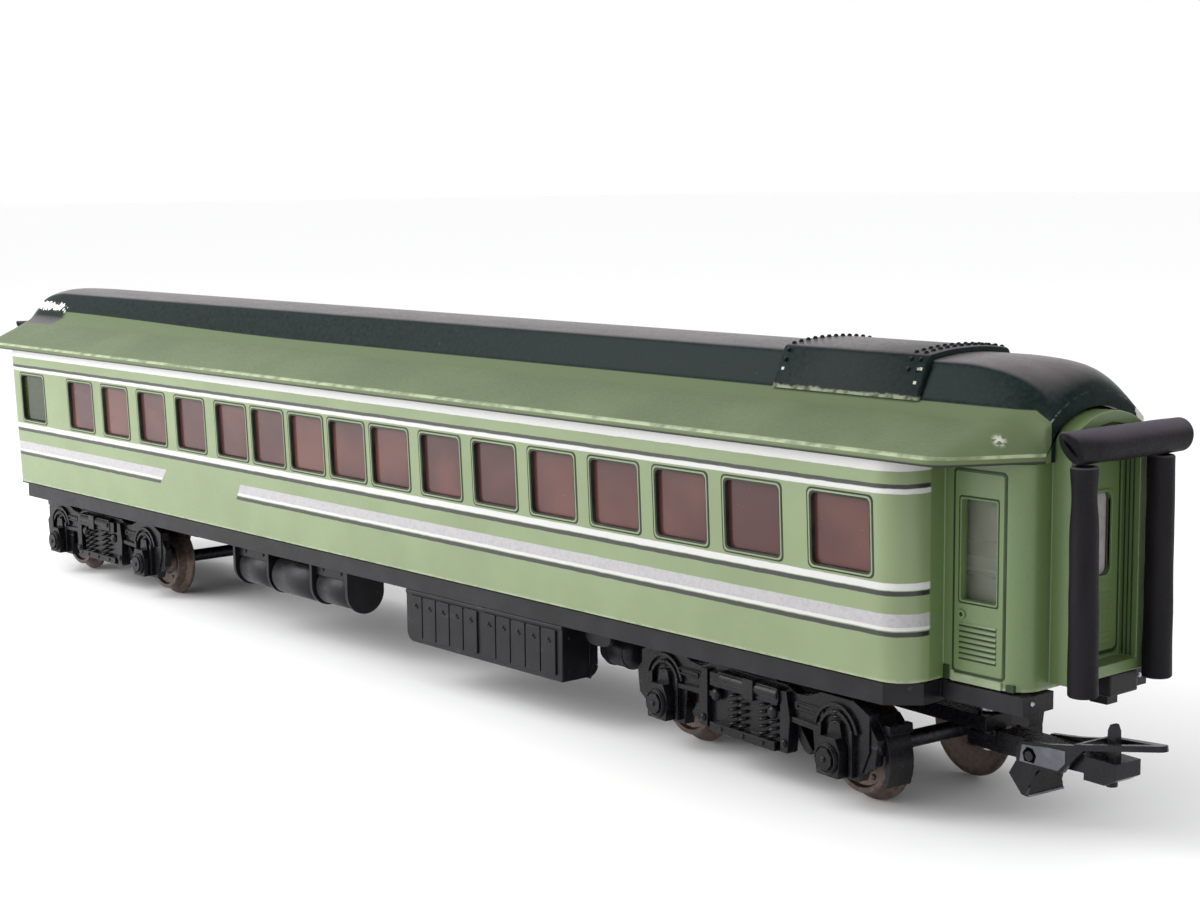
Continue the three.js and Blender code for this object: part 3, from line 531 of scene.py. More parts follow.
def clear_plastic(name, alpha, dark, light):
    look = Look(name)
    haze = look.noise(0.5, 4)
    look.bsdf.inputs["Alpha"].default_value = alpha
    color = look.mix(look.ramp(haze, 0.3, 0.7), dark, light)
    return look.done(color, look.ramp(haze, 0.3, 0.8, 0.02, 0.1), look.bump(haze, 0.03, 0.2))


def metal(name, dark, light, rough, scale=1.5, stretch=(1, 1, 1), metallic=1.0):
    look = Look(name, metal=metallic)
    brush = look.noise(scale, 6, stretch, rough=0.7)
    stain = look.noise(0.3, 4)
    color = look.mix(look.ramp(brush, 0.3, 0.7), dark, light)
    color = look.mix(look.ramp(stain, 0.55, 0.75, 0.0, 0.5), color, rgb(0x4E433B))
    return look.done(color, look.ramp(brush, 0.25, 0.8, *rough), look.bump(brush, 0.02, 0.4))


PAINT, ROOF_GREEN, ROOF_DARK = body_paint(), roof_green_paint(), lantern_paint()
COVER, RUBBER = cover_paint(), rubber()
BLACK = plastic("satin_black_moulding", rgb(0x0B0B0F), rgb(0x17161B))
SOLE = plastic("scuffed_sole_bar", rgb(0x0D0C10), rgb(0x1A181C), dust=0.35)
BOGIE = plastic("black_bogie_moulding", rgb(0x08080B), rgb(0x131216), rough=(0.22, 0.42), dust=0.05, spec=0.2)
COUPLER = plastic("black_coupler_moulding", rgb(0x09090D), rgb(0x15151B), rough=(0.22, 0.4), dust=0.05)
CHEEK = plastic("grey_rubbed_plate", rgb(0x55555E), rgb(0x77777F), rough=(0.25, 0.4))
OUTLINE = plastic("black_window_edge", rgb(0x1E1F1C), rgb(0x343630), dust=0.1)
# Dark green for the door grooves, and painted shadow between the louvre slats.
GROOVE_AND_SHADOW = plastic("dark_green_groove_and_shadow", rgb(0x1D2A16), rgb(0x29371F), dust=0.0)
STEP = plastic("worn_step_plate", rgb(0x5F6E50), rgb(0x848F74), dust=0.0, grain_scale=1.2)
PIN = metal("blackened_pin", rgb(0x1A1A1D), rgb(0x2C2C30), (0.3, 0.5), metallic=0.6)
PANE, CLEAR = window_glass(), clear_plastic("clear_moulding", 0.24, rgb(0xA9B09C), rgb(0xBDC3B1))
# The pale, almost opaque end-door pane is painted light: it stands in for the bright view through the window.
PAINTED_LIGHT_PANE = clear_plastic("pale_end_pane", 0.85, rgb(0x9C9897), rgb(0xB0ACAB))
WHEEL = metal("brown_wheel_metal", rgb(0x43362F), rgb(0x655750), (0.3, 0.5), metallic=0.7)
STEEL = metal("bright_steel", rgb(0x8F8F92), rgb(0xB5B5B8), (0.22, 0.4))
AXLE = metal("dull_axle_steel", rgb(0x2B2B2E), rgb(0x47474B), (0.3, 0.5))
BALLAST = metal("ballast_plate", rgb(0x66676A), rgb(0x8A8B8D), (0.35, 0.6), stretch=(0.1, 1, 1))
CABIN = plastic("seat_moulding", rgb(0x77705F), rgb(0x8E8675), dust=0.1)


# ---- Body shell ----
def lean_at(z):
    return LEAN * (z - SHELL_BOTTOM) / (SHELL_TOP - SHELL_BOTTOM)


def leaned(build, side):
    """Moves a side panel's points (y measured out from the wall foot) onto the leaning wall."""
    build.verts = [(x, side * (SIDE_Y + y + lean_at(z)), z) for x, y, z in build.verts]


def side_windows():
    """Painted rim and black edge strip of every side window."""
    for side, label in ((-1, "left"), (1, "right")):
        rims, edges = Build(), Build()
        for x in WINDOW_X + [LAVATORY_X]:
            cx = x if side < 0 else -x
            x0, x1 = cx - WINDOW_WIDTH / 2, cx + WINDOW_WIDTH / 2
            z0, z1 = WINDOW_Z
            middle = rounded(x0 - 0.08, x1 + 0.08, z0 - 0.08, z1 + 0.1, 0.6)
            rims.ring(middle, rounded(x0 + 0.12, x1 - 0.1, z0 + 0.1, z1 - 0.1, 0.6), -0.35, 0.08)
            edges.ring(rounded(x0 - 0.27, x1 + 0.27, z0 - 0.25, z1 + 0.28, 0.65), middle, -0.3, 0.05)
            edges.ring(rounded(x0 - 0.1, x1 + 0.1, z0 - 0.1, z1 + 0.1, 0.4),
                       rounded(x0 + 0.34, x1 - 0.28, z0 + 0.28, z1 - 0.32, 0.6), -1.0, 0.02)
        leaned(rims, side)
        leaned(edges, side)
        rims.make(f"window_rims_{label}", PAINT, "coach_body", "body_plastic", bevel=0.03)
        edges.make(f"window_edges_{label}", OUTLINE, "coach_body", "body_plastic", bevel=0.03)


def end_column(sx, sy, name):
    """Set-back side door of one corner: groove, leaf, handle, louvres and step plate."""
    groove, leaf, trim = Build(), Build(), Build()
    y = PORCH_Y
    groove.ring(rounded(102.05, 108.75, 16.3, 37.2, 0.5), rounded(102.3, 108.5, 16.55, 36.95, 0.35),
                y - 0.3, y + 0.02)
    leaf.ring(rounded(102.36, 108.44, 16.6, 36.9, 0.35), rounded(102.8, 107.9, 23.5, 34.45, 0.3),
              y - 0.3, y + 0.1)
    groove.ring(rounded(102.75, 107.95, 23.45, 34.5, 0.3), rounded(102.95, 107.75, 23.65, 34.3, 0.25),
                y - 0.6, y + 0.03)
    leaf.ring(rounded(102.95, 107.75, 23.65, 34.3, 0.3), rounded(103.12, 107.58, 23.85, 34.1, 0.25),
              y - 0.7, y + 0.12)
    # The dark strips between the louvre slats are painted shadow.
    for k in range(7):
        z = 17.75 + k * 0.56
        groove.box(103.0, 107.7, y - 0.1, y + 0.13, z, z + 0.2)
        slat = [(y - 0.1, z + 0.2), (y + 0.28, z + 0.24), (y + 0.12, z + 0.5), (y - 0.1, z + 0.5)]
        leaf.prism(slat, 103.0, 107.7, 0)
    leaf.lathe([(0.2, 0.0), (0.5, 0.0), (0.46, 0.3), (0.24, 0.3)], (103.35, y + 0.05, 22.4), axis=1, steps=20)
    groove.dome((103.35, y + 0.1, 22.4), (0, 1, 0), 0.22, 0.1)
    trim.box(102.1, 108.4, y - 0.2, y + 0.2, 15.42, 16.25)
    trim.prism([(102.1, 15.42), (102.6, 15.42), (102.4, 16.5), (102.1, 16.5)], y - 0.2, y + 0.24)
    groove.box(100.95, 101.75, y - 0.3, y + 0.1, 15.42, 16.9)
    groove.box(108.9, 109.9, y - 0.3, y + 0.06, 15.42, 16.1)
    plan = Matrix.Diagonal((sx, sy, 1, 1))
    groove.make(f"door_grooves_{name}", GROOVE_AND_SHADOW, "coach_body", "body_plastic", place=plan, bevel=0.03)
    leaf.make(f"door_leaf_{name}", PAINT, "coach_body", "body_plastic", place=plan, bevel=0.05)
    trim.make(f"door_step_{name}", STEP, "coach_body", "body_plastic", place=plan, bevel=0.02)


def end_door(sx, name):
    """Door in the gangway: panel frame, window rim, pane, louvres and handle, and the wall's ribs."""
    door, groove = Build(), Build()
    x = 111.2
    opening = rounded(-3.0, 3.0, 25.85, 34.3, 0.8)
    groove.ring(rounded(-4.75, 4.75, 17.6, 39.6, 0.8), rounded(-4.4, 4.4, 17.95, 39.25, 0.6),
                x - 0.2, x + 0.05, axis=0)
    door.ring(rounded(-4.35, 4.35, 18.0, 39.2, 0.6), opening, x - 0.2, x + 0.14, axis=0)
    door.ring(rounded(-3.35, 3.35, 25.5, 34.65, 1.0), opening, x - 0.3, x + 0.3, axis=0)
    for k in range(9):
        z = 18.8 + k * 0.62
        slat = [(x - 0.1, z), (x + 0.34, z + 0.05), (x + 0.13, z + 0.44), (x - 0.1, z + 0.44)]
        door.prism(slat, -3.2, 3.2)
    door.dome((x + 0.12, -3.7, 24.4), (1, 0, 0), 0.4, 0.5)
    for rib_x in (111.6, 112.1, 112.6):
        for y in (-5.0, 5.0):
            groove.box(rib_x, rib_x + 0.16, y - 0.06, y + 0.06, 17.3, 39.2)
    # Pale pane just behind the door's window: painted light for the bright view through it.
    pane = Build()
    pane.prism(rounded(-3.05, 3.05, 25.75, 34.35, 0.8), x - 0.75, x - 0.45, axis=0)
    plan = Matrix.Diagonal((sx, sx, 1, 1))
    pane.make(f"end_door_pane_{name}", PAINTED_LIGHT_PANE, "coach_body", "clear_plastic", place=plan, bevel=0.03)
    groove.make(f"end_door_groove_{name}", GROOVE_AND_SHADOW, "coach_body", "body_plastic", place=plan, bevel=0.03)
    door.make(f"end_door_{name}", PAINT, "coach_body", "body_plastic", place=plan, bevel=0.05)


refined("body_shell", PAINT, 0.1)
side_windows()
for sx, end in ((1, "near"), (-1, "far")):
    end_door(sx, end)
    for sy, side in ((-1, "left"), (1, "right")):
        end_column(sx, sy, f"{side}_{end}")
for node, look in (("glazing_left", PANE), ("glazing_right", PANE), ("lobby_glazing_near", CLEAR),
                   ("lobby_glazing_far", CLEAR)):
    refined(node, look, 0.08)


# ---- Roof ----
def towards_rim(x, length):
    """0 on the coach's middle, rising to 1 at the rim over the last length mm."""
    return min(max((abs(x) - RIM_X + length) / length, 0.0), 1.0)


def crown_height(x):
    return CROWN_Z + (RIM_TOP - CROWN_Z) * (1 - (1 - towards_rim(x, DOME_LENGTH) ** 4) ** DOME_CURVE)


def foot_height(x):
    t = towards_rim(x, FOOT_FALL)
    return FOOT_Z + (RIM_FOOT - FOOT_Z) * t * t * (3 - 2 * t)


def eave_half(x):
    """Half width over the eaves, drawn in past the body's rounded corner."""
    return EAVE_Y - HIP_SLOPE * math.log(1 + math.exp((abs(x) - HIP_X) / HIP_SOFT))


def lantern_share(y, blend):
    """Height between foot and crown, 0 to 1: steep sides and a soft shoulder, an arch at the rim."""
    shoulder = 1 - (CROWN_Z - SHOULDER_Z) / (CROWN_Z - FOOT_Z)
    top = 1 - (1 - shoulder) * (y / SHOULDER_Y) ** 2
    side = shoulder * (1 - (y - SHOULDER_Y) / (LANTERN_Y - SHOULDER_Y))
    k = 0.035
    sided = -k * math.log(math.exp(-top / k) + math.exp(-side / k))
    rise = RIM_TOP - RIM_FOOT
    radius = (LANTERN_Y ** 2 + rise ** 2) / (2 * rise)
    arched = 1 - (radius - math.sqrt(radius ** 2 - y ** 2)) / rise
    return max(sided + (arched - sided) * blend, 0.0)


# Distances from the middle where the section has a point, closer together round the shoulder
LANTERN_STEPS = [LANTERN_Y, 7.8, 7.45, 7.1, 6.8, 6.55, 6.35, 6.2, SHOULDER_Y, 5.85, 5.55, 5.1, 4.5, 3.7,
                 2.8, 1.9, 1.0, 0.0]


def roof_half(x):
    """One half of the roof's section at x, from the eave's underside to the crown."""
    w = eave_half(x)
    foot, crown = foot_height(x), crown_height(x)
    inner = min(LANTERN_Y, w - 0.25)
    lip = EAVE_Z + LIP
    y, z = w - 0.32, lip + 0.05
    half = [(w - 0.1, EAVE_Z), (w, EAVE_Z + 0.12), (w, lip - 0.22), (w - 0.1, lip - 0.06), (y, z)]
    half += [(y + (inner - y) * t, z + (foot - z) * t) for t in (0.25, 0.5, 0.75)]
    blend = towards_rim(x, DOME_LENGTH) ** DOME_BLEND
    for y in LANTERN_STEPS:
        half.append((y * inner / LANTERN_Y, foot + (crown - foot) * lantern_share(y, blend)))
    return half


def mouth_half(count):
    """One half of the arched opening over the gangway, in as many points as the roof's section."""
    path = [(MOUTH_Y, EAVE_Z), (MOUTH_Y, MOUTH_SPRING)]
    rise = MOUTH_TOP - MOUTH_SPRING
    radius = (MOUTH_Y ** 2 + rise ** 2) / (2 * rise)
    steps = count - 2
    for i in range(1, steps + 1):
        y = MOUTH_Y * (1 - i / steps)
        path.append((y, MOUTH_TOP - radius + math.sqrt(radius ** 2 - y ** 2)))
    return path


def whole(half):
    """Both halves of a section, from one eave over the crown to the other."""
    return half + [(-y, z) for y, z in reversed(half[:-1])]


def roof():
    """Roof skin: a closed section all along, open at each end as an arch over the gangway."""
    dome = [RIM_X - DOME_LENGTH * (1 - t / 16) for t in range(17)]
    dome += [RIM_X - 0.12, RIM_X - 0.35]
    half_x = [20.0, 60.0, 85.0, 96.0] + sorted(set(dome))
    build = Build()
    rings = []
    wall_x = RIM_X - 1.1
    points = len(roof_half(0))
    count = 2 * points - 1
    for x in [-x for x in reversed(half_x)] + half_x:
        outer = whole(roof_half(x))
        inner = [(y * 0.9, max(z - 1.0, EAVE_Z)) for y, z in outer]
        if abs(x) > wall_x:
            inner = whole(mouth_half(points))
        rings.append([(x, y, z) for y, z in outer + inner[::-1]])
    n = len(rings[0])
    build.loft(rings, caps=False)
    for r in (0, len(rings) - 1):
        base = r * n
        for i in range(count - 1):
            build.faces.append([base + i, base + i + 1, base + n - 2 - i, base + n - 1 - i])
    first, last = 7, count - 8
    build.picks = []
    for face in build.faces:
        slots = [i % n for i in face]
        raised = all(first <= s <= last for s in slots)
        inside = any(s >= count for s in slots)
        build.picks.append(1 if raised or inside else 0)
    build.make("roof_form", [ROOF_GREEN, ROOF_DARK], "coach_body", "roof_plastic", replaces=["roof"],
               sharp=50)


def cover_section(x, grow):
    """The raised part of the roof at x, moved outwards by a thickness."""
    points = []
    for y, z in whole(roof_half(x)[8:]):
        share = min(1.0, max(0.0, (z - FOOT_Z) / 3.0))
        out = math.copysign(grow * 0.7, y) if y else 0.0
        points.append((y + out, z + grow * share))
    return points


def spaced(path, first, step):
    """Places every step mm along a path, each with a direction square to it."""
    spots, walk = [], first
    for (ya, za), (yb, zb) in zip(path, path[1:]):
        length = math.hypot(yb - ya, zb - za)
        while length and walk <= length:
            t = walk / length
            spots.append(((ya + (yb - ya) * t, za + (zb - za) * t), (za - zb, yb - ya)))
            walk += step
        walk -= length
    return spots


def cover():
    """Riveted saddle on the raised part of the roof."""
    x0, x1 = COVER_X
    build = Build()
    rings = []
    stations = [(x0, 0.3), (x0 + 0.12, 0.52), (x0 + 0.3, COVER_GROW)]
    stations += [(x1 - 0.3, COVER_GROW), (x1 - 0.12, 0.52), (x1, 0.3)]
    for x, grow in stations:
        outer = [(x, y, max(z, FOOT_Z + 0.12)) for y, z in cover_section(x, grow)]
        inner = [(x, y, max(z, FOOT_Z + 0.05)) for y, z in cover_section(x, 0.04)]
        rings.append(outer + inner[::-1])
    build.loft(rings)
    spots = spaced(cover_section(COVER_MIDDLE, COVER_GROW), RIVET_START, RIVET_STEP)
    for x in (x0 + 1.0, x1 - 2.3, x1 - 1.0):
        for (y, z), (ny, nz) in spots:
            if abs(y) > SHOULDER_Y + 0.2 and z < 45.5:
                continue
            sign = 1 if ny * y >= 0 else -1
            build.dome((x, y, z), (0, sign * ny, abs(nz) if abs(y) < 5 else sign * nz), 0.27, 0.3)
    build.make("roof_cover_form", COVER, "coach_body", "roof_plastic", replaces=["roof_riveted_cover"])


roof()
cover()


# ---- Gangway tubes ----
def tube(name, node, points, radii, squeeze=(), slant=0.0):
    """Soft hollow tube through points, its radius given at each, pinched and cut slanted where told."""
    build = Build()
    count, steps = 36, 40
    spine = []
    for k in range(count + 1):
        t = k / count * (len(points) - 1)
        i = min(int(t), len(points) - 2)
        f = t - i
        centre = Vector(points[i]).lerp(Vector(points[i + 1]), f)
        spine.append((centre, radii[i] + (radii[i + 1] - radii[i]) * f))
    reach = Vector(points[-1]) - Vector(points[0])
    axis, length = reach.normalized(), reach.length
    u = Vector((1, 0, 0))
    w = axis.cross(u).normalized()

    def ring(centre, radius, s, inside=False):
        out = []
        fade = max(0.0, 1 - s / 6.0)
        for j in range(steps):
            a = 2 * math.pi * j / steps
            r = radius * (1 + 0.035 * noise.noise(Vector((math.cos(a), math.sin(a), s * 0.25))))
            flat = 1.0
            for place, amount, width in squeeze:
                flat -= amount * (2.4 if inside else 1.0) * math.exp(-((s - place) / width) ** 2)
            cut = axis * slant * fade * (1 + math.sin(a)) / 2
            out.append(tuple(centre + cut + u * math.cos(a) * r * flat + w * math.sin(a) * r))
        return out

    outer, inner = [], []
    for centre, radius in spine:
        s = (centre - Vector(points[0])).length
        outer.append(ring(centre, radius, s))
        inner.append(ring(centre, TUBE_BORE, s, True))
    start, finish = spine[0], spine[-1]
    lips = [ring(start[0] + axis * 0.14, start[1], 0), ring(finish[0] - axis * 0.14, finish[1], length)]
    outer[0] = ring(start[0], start[1] - 0.12, 0)
    outer[-1] = ring(finish[0], finish[1] - 0.12, length)
    loop = [outer[0], lips[0]] + outer[1:-1] + [lips[1], outer[-1]] + inner[::-1]
    build.add(sum(loop, []), grid(len(loop), steps, closed=True))
    build.make(name, RUBBER, "coach_body", "gangway_rubber", replaces=[node])


for sx, end in ((1, "near"), (-1, "far")):
    top_y = (-9.95, 9.15) if sx > 0 else (-8.2, 8.2)
    for side, y_top, y_foot in (("left", -6.55, -6.1), ("right", 6.1, 6.25)):
        tube(f"gangway_tube_{side}_{end}_form", f"gangway_tube_{side}_{end}",
             [(sx * TUBE_X, y_foot, 15.35), (sx * TUBE_X, (y_foot + y_top) / 2, 27.0),
              (sx * TUBE_X, y_top, 38.1)],
             [1.52, 1.42, 1.4], squeeze=((19.8, 0.2, 1.8),) if side == "left" else ())
    tube(f"gangway_tube_top_{end}_form", f"gangway_tube_top_{end}",
         [(sx * TUBE_X, top_y[0], 40.05), (sx * TUBE_X, 0, 39.95), (sx * TUBE_X, top_y[1], 39.9)],
         [1.7, 1.74, 1.74], squeeze=((0.0, 0.3, 2.6),), slant=2.2)

# ---- Inside ----
refined("seat_unit", CABIN, 0.15)
refined("ballast_weight", BALLAST, 0.15)

# ---- Underframe ----
refined("chassis", SOLE, 0.14)
for end in ("near", "far"):
    refined(f"gangway_foot_{end}", BLACK, 0.18)


def step_details():
    """Steel stud on each step block and small screws along the floor's underside."""
    studs, screws = Build(), Build()
    for sx in (1, -1):
        for sy in (1, -1):
            studs.dome((sx * 111.1, sy * 8.9, 14.35), (sx, 0, 0), 0.3, 0.25)
            for x in (22.0, 52.0, 96.0):
                screws.dome((sx * x, sy * 7.5, 13.9), (0, 0, -1), 1.0, 0.5, steps=16)
    studs.make("step_studs", STEEL, "coach_body", "underframe_plastic")
    screws.make("floor_screws", STEEL, "coach_body", "underframe_plastic")


step_details()


def battery_box(degrees, label):
    """Box with rounded lower edges and two rows of five hinged doors."""
    x0, x1, y0, y1, z0, z1 = 14.1, 46.3, -15.6, -9.65, 5.8, 12.75
    build = Build()
    front = [(x0, z0 + 1.4)] + arc(x0 + 1.4, z0 + 1.4, 1.4, 180, 270, 6)[1:] + [(x1, z0), (x1, z1), (x0, z1)]
    build.prism(front, y0 + 0.22, y1 - 1.3)
    build.box(x0 + 0.1, x1 - 0.02, y1 - 1.4, y1, z0 + 1.3, z1)
    build.prism(arc(y1 - 1.3, z0 + 1.3, 1.3, -90, 0, 6) + [(y1 - 1.3, z0 + 1.3)], x0 + 0.5, x1, 0)
    build.box(x0 - 0.02, x1 + 0.05, y0 + 0.1, y0 + 0.5, z1 - 0.6, z1)
    doors = Build()
    width, gap, row = 2.75, 0.2, 15.6
    for group in (0, 1):
        for k in range(5):
            a = x0 + 1.0 + group * row + k * (width + gap)
            doors.prism(rounded(a, a + width, z0 + 0.75, z1 - 0.7, 0.2), y0 - 0.02, y0 + 0.4)
            doors.dome((a + width / 2, y0 + 0.02, z1 - 1.9), (0, -1, 0), 0.3, 0.25)
            doors.box(a + width / 2 - 0.5, a + width / 2 + 0.5, y0 - 0.16, y0 + 0.3, z1 - 2.25, z1 - 2.0)
    for z in (z0 + 1.3, z0 + 5.4):
        for y in (y0 + 1.3, y1 - 1.0):
            doors.dome((x1, y, z), (1, 0, 0), 0.22, 0.2)
    build.make(f"battery_box_{label}_form", BLACK, "coach_body", "underframe_plastic",
               replaces=[f"battery_box_{label}"], bevel=0.14, place=turn(degrees))
    doors.make(f"battery_doors_{label}", BLACK, "coach_body", "underframe_plastic", bevel=0.05,
               place=turn(degrees))


def air_tanks(degrees, label):
    """Three drums between round-bottomed flange plates under the sole bar."""
    flanges, cy, cz, r = [-30.0, -20.75, -9.3, -0.4], -12.15, 9.7, 3.05
    build = Build()
    top = 12.75
    for x in flanges:
        bowl = arc(cy, cz, r, 180, 360, 20)
        build.prism(bowl + [(cy + r, top), (cy - r, top)], x - 0.3, x + 0.3, 0)
    drums = Build()
    for radius, a, b in zip((2.75, 2.92, 2.75), flanges, flanges[1:]):
        profile = [(0.0, a), (radius - 0.5, a), (radius - 0.35, a + 0.7), (radius, a + 0.95)]
        profile += [(radius, b - 0.95), (radius - 0.35, b - 0.7), (radius - 0.5, b), (0.0, b)]
        drums.lathe(profile, (0, cy, cz), axis=0, steps=56)
    for i in (0, 2):
        build.box(flanges[i], flanges[i + 1], cy - 2.35, cy + 2.35, cz + 1.6, top)
        for x in (flanges[i] + 2.2, flanges[i + 1] - 2.2):
            build.dome((x, cy - 2.35, cz + 2.45), (0, -1, 0), 0.25, 0.2)
    build.make(f"air_tanks_{label}_form", BLACK, "coach_body", "underframe_plastic",
               replaces=[f"air_tanks_{label}"], bevel=0.1, place=turn(degrees))
    drums.make(f"air_tank_drums_{label}", BLACK, "coach_body", "underframe_plastic", place=turn(degrees),
               sharp=60)


def reservoir(degrees, label):
    """Small banded drum on a hanger, with an oval plate in front of it."""
    build = Build()
    x0, x1, cy, cz, r = 47.0, 53.0, -8.5, 9.5, 2.1
    drum = [(0.0, x0), (r - 0.8, x0 + 0.05), (r - 0.2, x0 + 0.5), (r, x0 + 1.1)]
    drum += [(r, x1 - 1.1), (r - 0.2, x1 - 0.5), (r - 0.8, x1 - 0.05), (0.0, x1)]
    build.lathe(drum, (0, cy, cz), axis=0, steps=40)
    build.box(48.8, 51.2, -9.4, -7.6, 9.5, 13.7)
    plate = []
    for k in range(28):
        t = 2 * math.pi * (k + 0.5) / 28
        plate.append((50.3 + 2.3 * math.cos(t) * abs(math.cos(t)) ** -0.3, 11.8 + 1.15 * math.sin(t)))
    build.prism(plate, -13.1, -12.5)
    build.box(49.2, 51.4, -12.6, -12.0, 12.2, 13.85)
    for x in (48.4, 51.6):
        band = [(r - 0.1, x - 0.25), (r + 0.1, x - 0.2), (r + 0.1, x + 0.2), (r - 0.1, x + 0.25)]
        build.lathe(band, (0, cy, cz), axis=0, steps=40)
    build.make(f"reservoir_{label}_form", BLACK, "coach_body", "underframe_plastic",
               replaces=[f"reservoir_{label}"], place=turn(degrees), sharp=50)


for degrees, label in ((0, "left"), (180, "right")):
    battery_box(degrees, label)
    air_tanks(degrees, label)
    reservoir(degrees, label)


# ---- Bogies ----
def axle_relief(build, side, x):
    """At one axle: leaf springs, round box cap, horn guides, spring seat, bolt heads and a coil."""
    for r in (3.5, 2.7):
        leaf = arc(x, 7.9, r, 12, 168, 12) + arc(x, 7.9, r - 0.42, 12, 168, 12)[::-1]
        build.relief(leaf, side, 11.9, 13.1)
    build.relief(arc(x, BOX_Z, 1.7, 0, 360, 20)[:-1], side, 14.1, 14.42)
    build.relief(arc(x, BOX_Z, 1.25, 22.5, 382.5, 8)[:-1], side, 14.4, 14.75)
    rim = [(1.35, side * 14.4), (1.62, side * 14.4), (1.57, side * 14.6), (1.4, side * 14.6)]
    build.lathe(rim, (x, 0, BOX_Z), steps=24)
    build.dome((x, side * 14.75, BOX_Z), (0, side, 0), 0.4, 0.2)
    for dx in (-2.5, 2.3):
        build.relief(corners(x + dx, x + dx + 0.5, 3.9, 8.9), side, 11.9, 13.3)
    build.relief([(x - 1.2, 7.4), (x + 1.2, 7.4), (x + 0.8, 9.4), (x - 0.8, 9.4)], side, 11.9, 13.2)
    for dx, z in ((-3.6, 11.0), (3.6, 11.0), (-1.5, 3.95), (1.5, 3.95)):
        build.dome((x + dx, side * 12.0, z), (0, side, 0), 0.3, 0.3)
    build.coil((x, side * 12.55, 0), 0.55, 0.2, 3.0, 8.9, 10.6)


def half_relief(build, side, s):
    """One half of a side frame: end plate, brake rod, slotted bar, hanger, brake block and bolt heads."""
    a = WHEELBASE / 2
    end_plate = [(a + 3.6, 4.4), (a + 5.5, 5.6), (a + 5.9, 8.4), (a + 4.2, 10.3)]
    rod = [(4.3, 8.1), (a - 2.2, 7.7), (a - 2.2, 8.3), (4.3, 8.7)]
    build.relief(flipped(end_plate, s), side, 11.4, 12.5)
    build.relief(flipped(rod, s), side, 12.0, 13.2)
    build.relief(rounded(*sorted((s * 8.0, s * 12.7)), 9.3, 10.3, 0.4), side, 12.0, 12.9)
    slot_edge = rounded(*sorted((s * 8.4, s * 12.3)), 9.45, 10.15, 0.3)
    slot = rounded(*sorted((s * 8.7, s * 12.0)), 9.65, 9.95, 0.1)
    build.ring(slot_edge, slot, side * 12.85, side * 13.05)
    hanger = [(6.3, 4.4), (7.5, 4.4), (7.9, 8.2), (7.3, 11.1), (6.3, 11.1)]
    block = [(8.1, 7.8), (10.4, 5.2), (10.0, 4.6), (9.2, 4.8), (7.8, 6.4)]
    build.relief(flipped(hanger, s), side, 11.9, 13.4)
    build.relief(flipped(block, s), side, 10.6, 12.4)
    build.dome((s * 4.9, side * 13.2, 8.4), (0, side, 0), 0.75, 0.5, steps=14)
    build.dome((s * 7.0, side * 13.4, 5.4), (0, side, 0), 0.5, 0.35, steps=12)


def middle_relief(build, side):
    """Middle of a side frame: bolster beam with its roller, bracket, coil nest, top bar and bolts."""
    beam = [(-4.2, 9.45), (6.1, 9.45), (6.3, 10.0), (6.1, 11.3), (-4.0, 11.3), (-4.3, 10.6)]
    build.relief(beam, side, 11.9, 13.7)
    roller = [(0.0, -3.9), (0.85, -3.8), (0.95, -3.5), (0.95, 5.8), (0.85, 6.1), (0.0, 6.2)]
    build.lathe(roller, (0, side * 13.0, 10.5), axis=0, steps=20)
    build.relief(corners(0.6, 2.4, 9.2, 11.5), side, 12.5, 14.05)
    for x in (-2.2, -0.6, 2.9, 4.6):
        build.coil((x, side * 12.7, 0), 0.6, 0.2, 5.5, 5.0, 9.4)
    build.relief([(-5.6, 11.5), (-4.4, 12.2), (3.8, 12.2), (5.2, 11.5)], side, 11.6, 12.5)
    for x in (-3.6, 0.2, 3.6):
        build.dome((x, side * 13.6, 4.7), (0, side, 0), 0.3, 0.2)


def bogie_fittings(place, body, end):
    """Relief of both side frames, and the guards over the outer wheels."""
    build = Build()
    for side in (-1, 1):
        for x in (-WHEELBASE / 2, WHEELBASE / 2):
            axle_relief(build, side, x)
        for s in (-1, 1):
            half_relief(build, side, s)
        middle_relief(build, side)
    guard = arc(WHEELBASE / 2, AXLE_Z, 6.6, -22, 48, 8)
    back = arc(WHEELBASE / 2, AXLE_Z, 5.95, -22, 48, 8)
    for side in (-1, 1):
        build.relief(guard + back[::-1], side, 8.0, 11.4)
        build.relief([(20.3, 8.9), (21.4, 8.9), (21.3, 9.9), (20.4, 9.9)], side, 8.2, 11.5)
    build.make(f"bogie_fittings_{end}", BOGIE, body, "underframe_plastic", place=place, bevel=0.07)


def wheel(place, node, body, x, side):
    """Disc wheel with flange, coned tread, dished web, hub and six small bosses."""
    build = Build()
    y = WHEEL_BACK_Y
    back = [(0.72, y - 0.25), (2.0, y - 0.2), (2.3, y + 0.15), (4.0, y + 0.15), (4.3, y), (5.4, y)]
    flange = [(5.62, y + 0.15), (5.7, y + 0.38), (5.6, y + 0.66), (5.15, y + 0.86)]
    tread = [(4.74, y + 1.15), (4.6, y + 2.5), (4.5, y + 2.6), (4.0, y + 2.6)]
    web = [(3.8, y + 2.1), (2.4, y + 1.85), (1.9, y + 2.45), (1.75, y + 2.6), (0.72, y + 2.6)]
    profile = [(r, side * h) for r, h in back + flange + tread + web]
    build.lathe(profile, (x, 0, AXLE_Z), steps=72)
    for k in range(6):
        t = 2 * math.pi * k / 6
        boss = (x + 3.1 * math.cos(t), side * (y + 1.98), AXLE_Z + 3.1 * math.sin(t))
        build.dome(boss, (0, side, 0), 0.34, 0.2, steps=12)
    build.make(node + "_form", WHEEL, body, "wheel_metal", replaces=[node], place=place, sharp=30)


